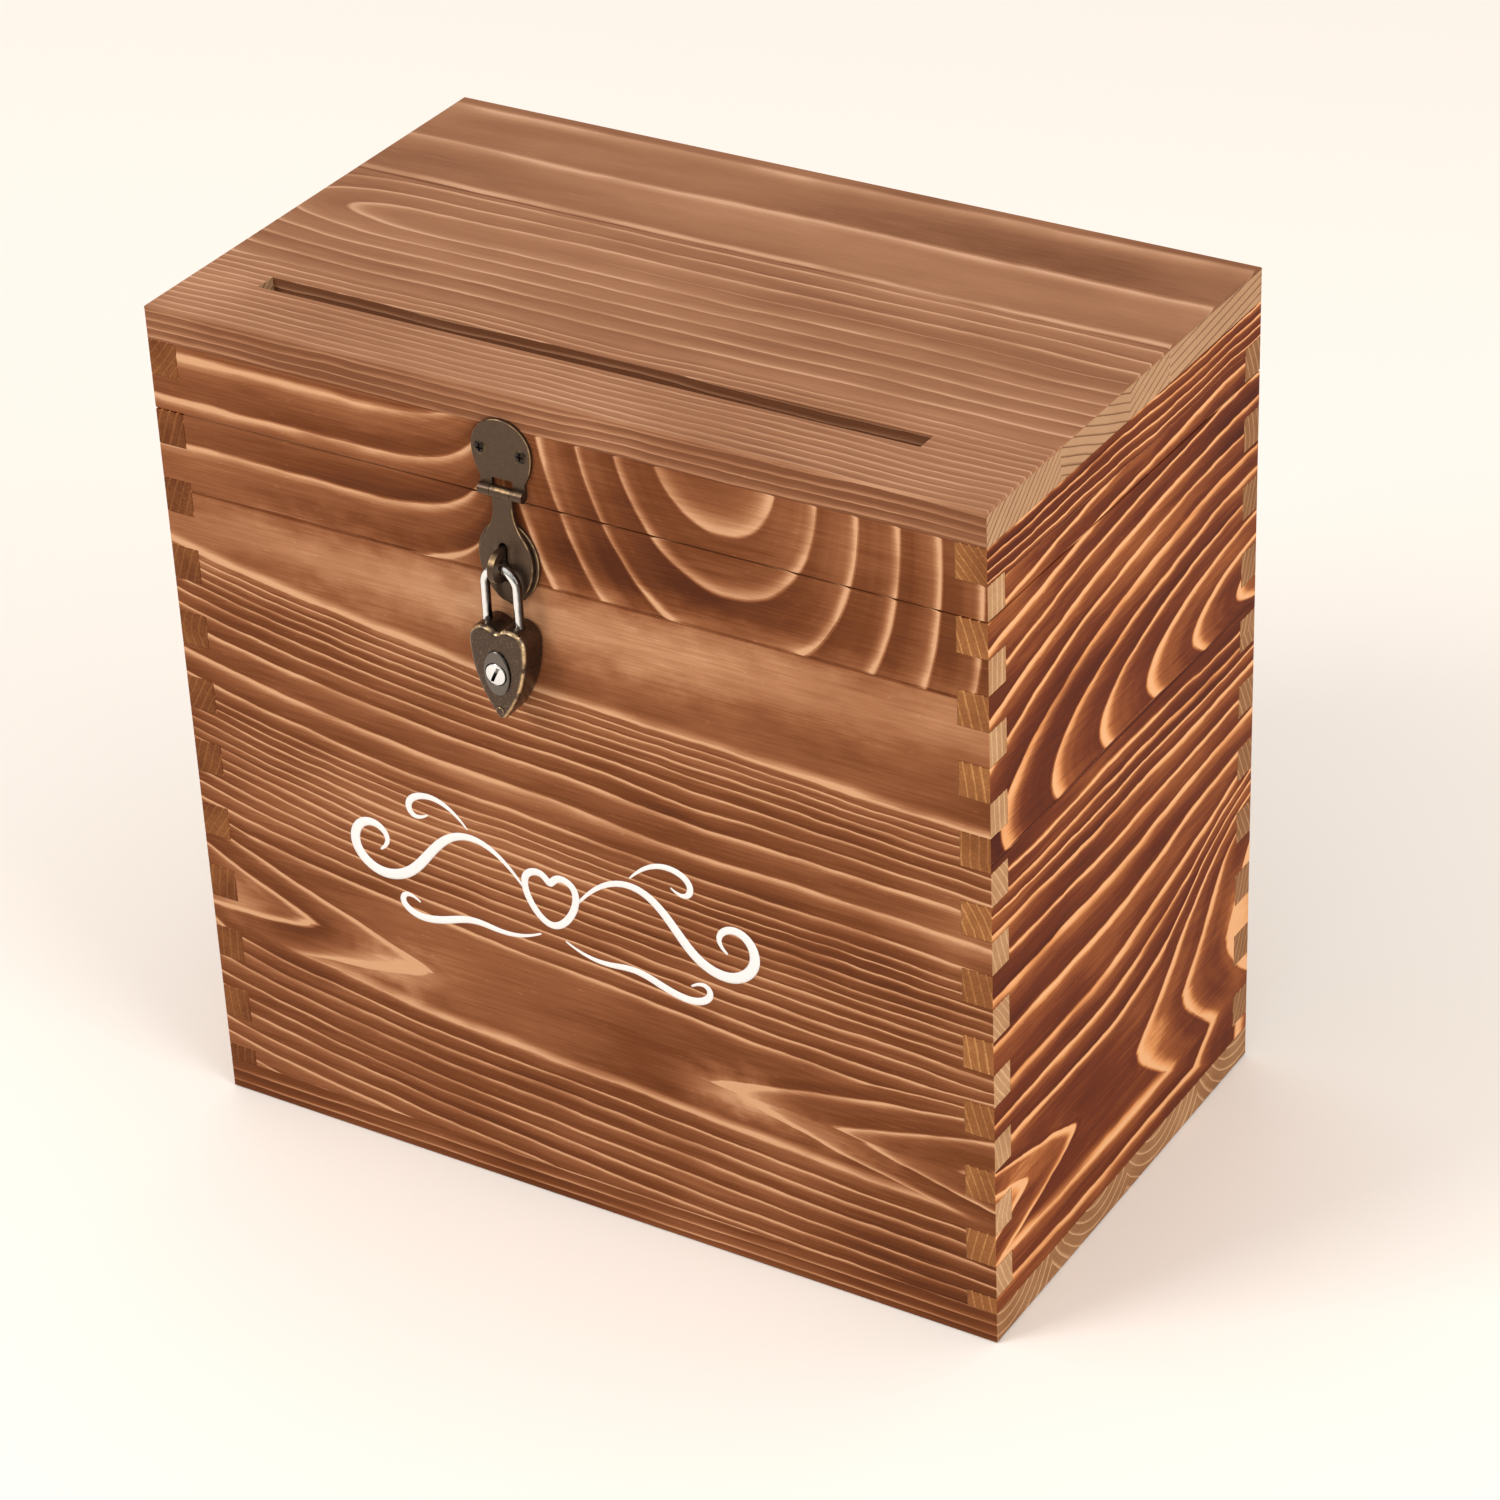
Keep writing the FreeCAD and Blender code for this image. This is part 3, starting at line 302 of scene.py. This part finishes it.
def wedge(along, rise, tip, above, below, blunt, direction):
    """How far a place lies inside a V that opens along the plank, in millimetres past its tip."""
    spread = (rise * rise + blunt) ** 0.5
    slope = rise.fade(-0.5, 0.5) * (above - below) + below
    return ((along - tip) * direction - spread * slope).work("MAXIMUM", 0)


BROWN = [(0.0, (0.085, 0.022, 0.0075)), (0.25, (0.163, 0.048, 0.0150)), (0.5, (0.278, 0.100, 0.040)),
         (0.75, (0.430, 0.195, 0.092)), (1.0, (0.640, 0.350, 0.190))]
AMBER = [(0.0, (0.062, 0.008, 0.002)), (0.25, (0.140, 0.027, 0.007)), (0.5, (0.308, 0.088, 0.024)),
         (0.75, (0.690, 0.287, 0.098)), (1.0, (0.780, 0.410, 0.195))]
ring_depth = 2.6
front_joint, front_face = 200, 76.2


def front_rings(along, across, depth):
    """Nested cups across the lid's seam in the upper stave, and two facing Vs in the wide stave below."""
    cup_middle, cup_lean, cup_width, cup_top, cup_height, cup_square = 50, 0.1, 11.5, 258, 17.5, 2.2
    reach = abs(along - cup_middle - (240 - across) * cup_lean) / cup_width
    fall = (cup_top - across).work("MAXIMUM", 0) / cup_height
    cups = (reach ** cup_square + fall ** cup_square) ** 0.4545 + 0.35
    climb = ((along + 22) / 9).work("EXPONENT").work("MINIMUM", 3) * 11
    level = counted(across - climb, 150, 260, [160, 176, 188, 199, 214, 228, 241])
    upper = level.towards(cups, along.fade(-15, -14))
    heart_height, tilt, v_stretch = 57.5, 0.04, 38
    sag = ((along + 127) / -60).work("EXPONENT") * 13
    rise = across - sag - heart_height + along * tilt
    lines = counted(rise, -85, 150,
                    [-73, -67, -61, -55, -50, -44, -39, -34, -28, -23, -18, -12.5, 20, 25, 30, 34, 38, 41.5,
                     45, 48, 51.6, 55, 58, 61, 66, 74, 83, 88.5, 93, 97, 100, 103, 105.6, 108],
                    calm=[(15, 0.55)])
    hearts = wedge(along, rise, 22, 3.4, 7, 7, 1) + wedge(along, rise, -32, 4, 5, 7, -1)
    lower = lines - hearts / v_stretch
    return lower.towards(upper, across.beyond(front_joint)) + (depth + front_face) / ring_depth


front_pine = torched_pine("front_pine", "XZY", front_rings, BROWN, 3.0, glue=[front_joint],
                          contrast=1.08, level=0.075, ends=(0.74, 0.2), wobble=0.8,
                          blotches=[(-66, 61, 18, 7, 0.55), (-118, 70, 10, 9, 0.42), (48, 56, 15, 6, 0.6),
                                    (85, 52, 30, 4, 0.2), (118, 128, 18, 14, 0.2), (20, 209, 80, 8, -0.16),
                                    (-10, 189, 150, 12, 0.5), (-10, 62, 26, 16, 0.12),
                                    (0, 224, 140, 12, -0.12), (112, 26, 40, 26, -0.22),
                                    (95, 98, 40, 14, -0.12), (-100, 30, 40, 20, -0.06)])
eased_board("front_panel", front_pine)

side_joint, rail_joint, side_face = 153, 232, 127


def side_rings(along, across, depth):
    """Straight rings high in the lid's rail, hooked ones in the stave below, and facing Vs low down."""
    hook_middle, hook_length, hook_height, hook_width = 92, 27, 160, 7
    reach = (hook_middle - along) / hook_length
    rise = (across - hook_height) / hook_width
    hooks = (reach * reach + rise * rise) ** 0.5
    heart_height, v_stretch, rail_pitch = 43, 28, 3.3
    lift = along.fade(-25, 95) * across.hill(84, 30) * 26
    rise = across - lift - heart_height
    lines = counted(rise, -60, 120, [-40, -26, -17, 20, 29, 38.5, 54, 68.5, 79, 88.5, 94, 98.5, 104],
                    calm=[(15, 0.55)])
    hearts = wedge(along, rise, -8, 1.6, 1.9, 14, 1) + wedge(along, rise, -14, 3.4, 3.4, 7, -1)
    lower = lines - hearts / v_stretch
    upper = lower.towards(hooks, across.beyond(side_joint))
    return upper.towards(across / rail_pitch, across.beyond(rail_joint)) + (abs(depth) - side_face) / ring_depth


right_pine = torched_pine("right_pine", "YZX", side_rings, AMBER, 7.0, glue=[side_joint],
                          contrast=1.25, level=-0.01, ends=(0.46, 0.14),
                          blotches=[(72, 50, 12, 18, 0.55), (-62, 46, 22, 6, 0.4), (18, 43, 9, 6, 0.3),
                                    (30, 219, 50, 7, -0.2), (-62, 225, 20, 10, 0.2)])
eased_board("right_panel", right_pine)

left_shift, left_drop = 24, 5


def left_rings(along, across, depth):
    """The right side's ring pattern turned end for end and moved along the plank."""
    return side_rings(along * -1 + left_shift, across + left_drop, depth)


left_pine = torched_pine("left_pine", "YZX", left_rings, AMBER, 12.0, glue=[side_joint - left_drop],
                         ends=(0.3, 0.1), blotches=[(-66, 44, 16, 18, 0.4), (30, 50, 20, 8, 0.3)])
eased_board("left_panel", left_pine)

back_joint = 145


def hourglass(along, across, waist, middle, deep, shallow, stretch):
    """Distance from a pith that lies deepest at the waist, so that the rings open towards both ends."""
    depth_of_pith = along.hill(waist, stretch) * (deep - shallow) + shallow
    rise = across - middle
    return (rise * rise + depth_of_pith * depth_of_pith) ** 0.5


def back_rings(along, across, depth):
    """Two staves, each with an hourglass of its own."""
    lower_pitch, upper_pitch = 5.4, 6.5
    lower = hourglass(along, across, 30, 70, 26, 3, 62) / lower_pitch
    upper = hourglass(along, across, -45, 205, 34, 5, 54) / upper_pitch
    return lower.towards(upper, across.beyond(back_joint)) + depth / ring_depth


back_pine = torched_pine("back_pine", "XZY", back_rings, BROWN, 21.0, glue=[back_joint],
                         blotches=[(-50, 70, 18, 8, 0.3), (96, 68, 18, 9, 0.3), (40, 205, 20, 8, 0.3)])
eased_board("back_panel", back_pine)


# The bottom board: one glued-up pine board under the walls, torched like them.
# Its ends show as a strip of end grain under both side walls.
def floor_rings(along, across, depth):
    """Staves with their hearts above the board, so that the ends show as flat arcs."""
    stave_half, pith_side, pith_height, pitch = 44, 18, 22, 3.4
    spread = across.work("PINGPONG", stave_half) - pith_side
    drop = depth - pith_height
    return (spread * spread + drop * drop) ** 0.5 / pitch


bottom_pine = torched_pine("bottom_pine", "XYZ", floor_rings, BROWN, 31.0, contrast=0.8, ends=(0.55, 0.35))
eased_board("bottom_board", bottom_pine)


# The lid's four rails: sawn from the same boards as the walls, so the grain runs on across the seam.
# They are box-jointed at the corners just as the walls are.
eased_board("lid_front_rail", front_pine)
eased_board("lid_right_rail", right_pine)
eased_board("lid_left_rail", left_pine)
eased_board("lid_back_rail", back_pine)


# The top board: three staves glued edge to edge, torched more lightly than the walls,
# with the card slot sawn through it along the front. It is glued down on the lid's rails.
TAN = [(0.0, (0.190, 0.070, 0.031)), (0.25, (0.300, 0.128, 0.063)), (0.5, (0.386, 0.181, 0.093)),
       (0.75, (0.470, 0.237, 0.131)), (1.0, (0.617, 0.342, 0.209))]
near_joint, far_joint, top_face = -38, 22, 254


def top_rings(along, across, depth):
    """Straight fine rings in the front stave, long loops in the middle one and a plain back stave."""
    front_pitch, loop_pitch, back_pitch = 3.1, 6.5, 24
    tip = ((along + 122) / -26).work("EXPONENT") * 9
    loops = (across * across + tip * tip) ** 0.5 / loop_pitch
    inner = (across / front_pitch).towards(loops, across.beyond(near_joint))
    return inner.towards(across / back_pitch, across.beyond(far_joint)) + (top_face - depth) / ring_depth


top_pine = torched_pine("top_pine", "XYZ", top_rings, TAN, 5.0, glue=[far_joint],
                        contrast=0.92, level=0.06, ends=(0.66, -0.75), edges=-0.3, wobble=0.7,
                        blotches=[(-118, -60, 22, 22, 0.2), (60, 60, 90, 12, -0.14),
                                  (20, 40, 120, 10, 0.08), (0, -62, 140, 12, 0.12)])
eased_board("top_board", top_pine)


# The metal fittings on the box: pressed and turned brass, plated to a dark antique bronze
# that has been rubbed bright along the rounded edges, and screwed to the wood.
def two_tone(tree, shader, first, second, share):
    """Let a shader's colour pass from the first colour to the second by a share."""
    blend = tree.nodes.new("ShaderNodeMix")
    blend.data_type = "RGBA"
    colour_places = [place for place in blend.inputs if place.type == "RGBA"]
    for place, colour in zip(colour_places, (first, second)):
        place.default_value = (*colour, 1)
    tree.links.new(share.socket, blend.inputs[0])
    blended = [out for out in blend.outputs if out.type == "RGBA"][0]
    tree.links.new(blended, shader.inputs["Base Color"])


def antique_bronze(label, dark, worn, roughness):
    """Dark mottled bronze, golden on edges that turn away from the face."""
    mottle_scale, speckle_scale, rim_wear, speckle_wear = 0.35, 2.5, 0.8, 0.12
    finish, tree, shader = blank_finish(label)
    places = own_parts(tree, "Object")
    mottle = noise(tree, *[place * mottle_scale for place in places], 4.0)
    speckle = noise(tree, *[place * speckle_scale for place in places], 2.0)
    turned = abs(own_parts(tree, "Normal")[1])
    rim = turned.fade(0.25, 0.6) * (1 - turned.fade(0.75, 0.97))
    rubbed = rim * mottle.fade(0.35, 0.6) * rim_wear + speckle.fade(0.55, 0.75) * speckle_wear
    two_tone(tree, shader, dark, worn, rubbed)
    tree.links.new((mottle * 0.25 + (roughness - 0.12)).socket, shader.inputs["Roughness"])
    shader.inputs["Metallic"].default_value = 0.9
    emboss(tree, shader, speckle, 0.15, 0.0001)
    return finish


def plate_up(labels, finish):
    """Give CAD nodes their finish."""
    for label in labels:
        shown = frame["nodes"][label]
        shown.data.materials.clear()
        shown.data.materials.append(finish)


fitting_bronze = antique_bronze("fitting_bronze", (0.088, 0.057, 0.038), (0.42, 0.27, 0.13), 0.40)
plate_up(["hasp_plate", "hasp_pin", "staple_plate", "staple", "left_hinge_body_leaf", "left_hinge_lid_leaf",
          "left_hinge_pin", "right_hinge_body_leaf", "right_hinge_lid_leaf", "right_hinge_pin"], fitting_bronze)


# The screws: small countersunk cross-heads turned to a point and driven into the wood,
# plated darker than the sheet that they hold down. Like screws are one piece.
screw_bronze = antique_bronze("screw_bronze", (0.034, 0.024, 0.018), (0.34, 0.22, 0.11), 0.36)


def rounded(shape):
    """Shade a metal mesh as smooth, apart from its corners."""
    crease = 0.6
    for face in shape.faces:
        face.smooth = True
    for edge in shape.edges:
        edge.smooth = edge.is_manifold and edge.calc_face_angle() < crease


for label in ("hasp_plate_screws", "staple_plate_screws", "hinge_lid_screws", "hinge_body_screws"):
    screws = welded(label)
    rounded(screws)
    stand_for(label, screws, screw_bronze, f"{label}_turned")


# The hasp's tongue: a leaf of sheet brass, pressed into a shallow dome round the slit
# so that it stiffens, with the slit's own lips raised a little by the punch.
def lattice(shape, low, high, columns, rows):
    """Cut a mesh into a fine lattice across x and z, so that a press can shape it."""
    on_the_cut = 1e-7
    for axis, count in ((0, columns), (2, rows)):
        for step in range(1, count):
            place = Vector(low)
            place[axis] += (high[axis] - low[axis]) * step / count
            square_on = Vector((0, 0, 0))
            square_on[axis] = 1
            bmesh.ops.bisect_plane(shape, geom=shape.verts[:] + shape.edges[:] + shape.faces[:],
                                   dist=on_the_cut, plane_co=place, plane_no=square_on)


tongue = welded("hasp_tongue")
tongue_low, tongue_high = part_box("hasp_tongue")
lattice(tongue, tongue_low, tongue_high, 26, 48)
slit_x, slit_z = -0.014, 0.206
dome_width, dome_height, dome_rise = 0.0085, 0.0115, 0.0006
lip_place, lip_reach, lip_length, lip_rise, lip_start = 0.0016, 0.0010, 0.0062, 0.0005, 3
for corner in tongue.verts:
    across_slit, along_slit = corner.co.x - slit_x, corner.co.z - slit_z
    dome = max(0.0, 1 - (across_slit / dome_width) ** 2 - (along_slit / dome_height) ** 2)
    lip = math.exp(-((abs(across_slit) - lip_place) / lip_reach) ** 2 - (along_slit / lip_length) ** 4)
    corner.co.y -= dome * dome_rise + lip * lip_rise * min(1.0, dome * lip_start)
rounded(tongue)
stand_for("hasp_tongue", tongue, fitting_bronze, "hasp_tongue_pressed")


# The padlock: a heart-shaped cast case in the same bronze with a riveted back plate, its front
# polished off towards the heart's outline so that the rim shines. The shackle is bright plated,
# the bolt and the keeper pin are plain steel.
lock_bronze = antique_bronze("lock_bronze", (0.080, 0.053, 0.039), (0.85, 0.60, 0.32), 0.30)
plate_up(["padlock_back_plate", "padlock_rivet"], lock_bronze)
case = welded("padlock_case")
case_low, case_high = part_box("padlock_case")
lattice(case, case_low, case_high, 30, 46)
sliver, on_the_line, steps_per_edge = 4e-6, 1e-5, 8
bmesh.ops.remove_doubles(case, verts=case.verts, dist=sliver)
front_round, border_width, border_fall, wall_give = 0.0006, 0.0016, 0.0009, 0.002
wall_start = case_low.y + front_round
outline = [edge for edge in case.edges
           if all(abs(corner.co.y - wall_start) < on_the_line for corner in edge.verts)]
heart_line = kdtree.KDTree(len(outline) * steps_per_edge)
for number, edge in enumerate(outline):
    first, second = [Vector((corner.co.x, 0, corner.co.z)) for corner in edge.verts]
    for step in range(steps_per_edge):
        heart_line.insert(first.lerp(second, step / steps_per_edge), number)
heart_line.balance()
for corner in case.verts:
    nearest, number, inwards = heart_line.find((corner.co.x, 0, corner.co.z))
    fall = border_fall * max(0.0, 1 - inwards / border_width) ** 2
    corner.co.y += fall * min(1.0, max(0.0, 1 - (corner.co.y - wall_start) / wall_give))
rounded(case)
stand_for("padlock_case", case, lock_bronze, "padlock_case_polished")


def bright_plate(label, colour, reflected_dark, roughness):
    """Bright plating with faint scuffs, and a painted dark reflection on the flanks that face sideways."""
    finish, tree, shader = blank_finish(label)
    x, y, z = own_parts(tree, "Object")
    scuff = noise(tree, x * 1.2, y * 1.2, z * 0.5, 4.0)
    # painted dark reflection: faces turned along x blend to the dark second colour, standing in for the dark
    # room that bright metal reflects at its sides
    dark_reflection_share = (abs(own_parts(tree, "Normal")[0]) + scuff * 0.3).fade(0.45, 0.95)
    two_tone(tree, shader, colour, reflected_dark, dark_reflection_share)
    tree.links.new((scuff * 0.14 + roughness).socket, shader.inputs["Roughness"])
    shader.inputs["Metallic"].default_value = 1.0
    return finish


# the second colour of each plating is its painted dark reflection on the flanks
chrome = bright_plate("lock_chrome", (0.80, 0.79, 0.78), (0.07, 0.06, 0.055), 0.06)
plate_up(["padlock_shackle"], chrome)
spring_steel = bright_plate("lock_steel", (0.46, 0.46, 0.48), (0.30, 0.30, 0.31), 0.28)
plate_up(["padlock_keeper_pin", "padlock_bolt"], spring_steel)


# The padlock's bolt spring: a small coil of steel wire in a blind hole of the case,
# which the bolt closes up by the length of its own travel.
coil = welded("padlock_bolt_spring")
for face in coil.faces:
    face.smooth = True
spring = stand_for("padlock_bolt_spring", coil, spring_steel, "padlock_bolt_spring_coil")
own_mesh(spring)


# The padlock's rosette and key plug: pressed and turned brass under bright plating, with the rosette's plating
# given a dark colour that is a painted dark reflection.
# The oval rosette has a crowned face and the round plug a low dome, both about the key's axis.
lock_axis = Vector((-0.014, 0, 0.17625))


def crowned(label, half_width, half_height, rise, finish, name):
    """Raise a plate's flat front into a low crown over an oval of the given half sizes."""
    cuts, in_the_face = 22, 0.00002
    shape = welded(label)
    low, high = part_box(label)
    lattice(shape, low, high, cuts, cuts)
    for corner in shape.verts:
        if corner.co.y < low.y + in_the_face:
            out = corner.co - lock_axis
            corner.co.y -= rise * max(0.0, 1 - (out.x / half_width) ** 2 - (out.z / half_height) ** 2)
    rounded(shape)
    stand_for(label, shape, finish, name)


# painted dark reflection: the rosette's whole plating is made dark so that it reads as chrome reflecting a dark
# room
dark_reflection_chrome = bright_plate("dark_reflection_chrome", (0.15, 0.13, 0.115), (0.03, 0.026, 0.023), 0.05)
crowned("padlock_rosette", 0.0041, 0.0066, 0.0004, dark_reflection_chrome, "padlock_rosette_crowned")
crowned("padlock_plug", 0.0028, 0.0028, 0.0003, chrome, "padlock_plug_domed")


# The ornament on the front: a plain flourish with a small heart, painted on in thick white enamel
# through a stencil, so that every stroke swells in the middle and stands a little proud of the wood.
enamel, enamel_tree, enamel_shader = blank_finish("white_enamel")
brush_marks = noise(enamel_tree, *own_parts(enamel_tree, "Object"), 3.0)
enamel_tree.links.new((brush_marks * 0.3 + 0.35).socket, enamel_shader.inputs["Roughness"])
enamel_shader.inputs["Base Color"].default_value = (0.87, 0.85, 0.83, 1)
enamel_shader.inputs["Specular IOR Level"].default_value = 0.2


def brush_stroke(points, swell, closed=False):
    """A smooth line through points in millimetres, thin at both ends and swollen between them."""
    thin = 0.22
    path = bpy.data.curves.new("stroke", "CURVE")
    path.dimensions = "3D"
    path.bevel_depth = 1.0
    path.bevel_resolution = 3
    path.use_fill_caps = True
    line = path.splines.new("NURBS")
    line.points.add(len(points) - 1)
    line.use_endpoint_u = not closed
    line.use_cyclic_u = closed
    line.order_u = 4
    line.resolution_u = 14
    for number, (point, (x, z)) in enumerate(zip(line.points, points)):
        point.co = (x, 0, z, 1)
        share = math.sin(math.pi * number / (len(points) - 1))
        point.radius = swell if closed else swell * (thin + (1 - thin) * share)
    holder = bpy.data.objects.new("stroke", path)
    stroke = bpy.data.meshes.new_from_object(holder)
    bpy.data.objects.remove(holder)
    bpy.data.curves.remove(path)
    return stroke


swash = [(9, 2), (16, 11), (28, 15), (38, 6), (46, -6), (58, -9), (66, -1), (63, 8), (55, 9), (52, 3), (56, 0)]
under_swash = [(4, -12), (13, -17), (25, -13), (34, -17), (45, -20), (52, -15), (48, -11), (44, -14)]
sprig = [(26, 15), (32, 22), (42, 23), (47, 17), (43, 13), (39, 16)]
heart = [(0, -11), (-8, -2), (-9, 7), (-2, 9), (0, 4), (2, 9), (9, 7), (8, -2)]
ornament = bmesh.new()
for points, swell in ((swash, 1.75), (under_swash, 1.3), (sprig, 1.15)):
    for side in (1, -1):
        ornament.from_mesh(brush_stroke([(x * side, z) for x, z in points], swell))
ornament.from_mesh(brush_stroke(heart, 1.15, closed=True))
ornament_centre, stroke_rise, per_metre, cap_seam = Vector((-9, -76.2, 101)), 0.16, 1000, 1e-7
for corner in ornament.verts:
    flat = Vector((corner.co.x, corner.co.y * stroke_rise, corner.co.z)) + ornament_centre
    corner.co = flat / per_metre
bmesh.ops.remove_doubles(ornament, verts=ornament.verts, dist=cap_seam)
bmesh.ops.recalc_face_normals(ornament, faces=ornament.faces)
for face in ornament.faces:
    face.smooth = True
ornament_mesh = bpy.data.meshes.new("painted_flourish")
ornament.to_mesh(ornament_mesh)
ornament.free()
ornament_mesh.materials.append(enamel)
flourish = bpy.data.objects.new("painted_flourish", ornament_mesh)
bpy.context.scene.collection.objects.link(flourish)
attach(flourish, "box")


# The room: a plain pale floor under a warm white sky that is brighter overhead,
# one soft lamp up on the left and a wider one low on the right.
floor_half = 6.0
floor_shape = bmesh.new()
bmesh.ops.create_grid(floor_shape, x_segments=1, y_segments=1, size=floor_half)
floor_mesh = bpy.data.meshes.new("floor")
floor_shape.to_mesh(floor_mesh)
floor_shape.free()
floor_paint, floor_tree, floor_shader = blank_finish("pale_floor")
floor_shader.inputs["Base Color"].default_value = (0.985, 0.925, 0.86, 1)
floor_shader.inputs["Roughness"].default_value = 0.9
floor_shader.inputs["Specular IOR Level"].default_value = 0.1
floor_mesh.materials.append(floor_paint)
floor = bpy.data.objects.new("floor", floor_mesh)
bpy.context.scene.collection.objects.link(floor)

world = bpy.data.worlds.new("studio")
bpy.context.scene.world = world
world.use_nodes = True
sky = world.node_tree
direction = sky.nodes.new("ShaderNodeTexCoord")
compass = sky.nodes.new("ShaderNodeSeparateXYZ")
sky.links.new(direction.outputs["Generated"], compass.inputs[0])
horizon_glow, overhead_glow = 0.3, 0.63
glow = Measure(sky, compass.outputs[2]).fade(-0.05, 0.9) * overhead_glow + horizon_glow
sky.links.new(glow.socket, sky.nodes["Background"].inputs["Strength"])
sky.nodes["Background"].inputs["Color"].default_value = (1.0, 0.97, 0.93, 1)


def lamp(name, place, size, watts):
    """A square soft lamp that faces the middle of the box."""
    target = Vector((0, 0, 0.12))
    light = bpy.data.lights.new(name, "AREA")
    light.size = size
    light.energy = watts
    holder = bpy.data.objects.new(name, light)
    holder.location = place
    holder.rotation_euler = (target - Vector(place)).to_track_quat("-Z", "Y").to_euler()
    bpy.context.scene.collection.objects.link(holder)


lamp("key", (-1.1, -1.5, 1.6), 0.9, 22)
lamp("right_fill", (1.9, -0.5, 0.9), 1.2, 20)


# The camera: at the photograph's viewing angle with a long lens, from the front right and above,
# rolled a little as the photograph is.
azimuth, elevation, roll = math.radians(32.28), math.radians(31.45), math.radians(-2.54)
backwards = Vector((math.sin(azimuth) * math.cos(elevation), -math.cos(azimuth) * math.cos(elevation),
                    math.sin(elevation)))
level_right = Vector((0, 0, 1)).cross(backwards).normalized()
level_up = backwards.cross(level_right)
right = level_right * math.cos(roll) + level_up * math.sin(roll)
up = level_up * math.cos(roll) - level_right * math.sin(roll)
box_middle, distance, shift_right, shift_down = Vector((0, 0, 0.127)), 1.3003, 0.008, 0.0146
lens = bpy.data.cameras.new("camera")
lens.sensor_width = 36
lens.lens = 111.97
lens.clip_end = 20
camera = bpy.data.objects.new("camera", lens)
camera.matrix_world = Matrix((right, up, backwards)).transposed().to_4x4()
camera.location = box_middle + backwards * distance + right * shift_right - up * shift_down
bpy.context.scene.collection.objects.link(camera)
bpy.context.scene.camera = camera
bpy.context.scene.view_settings.view_transform = "Standard"
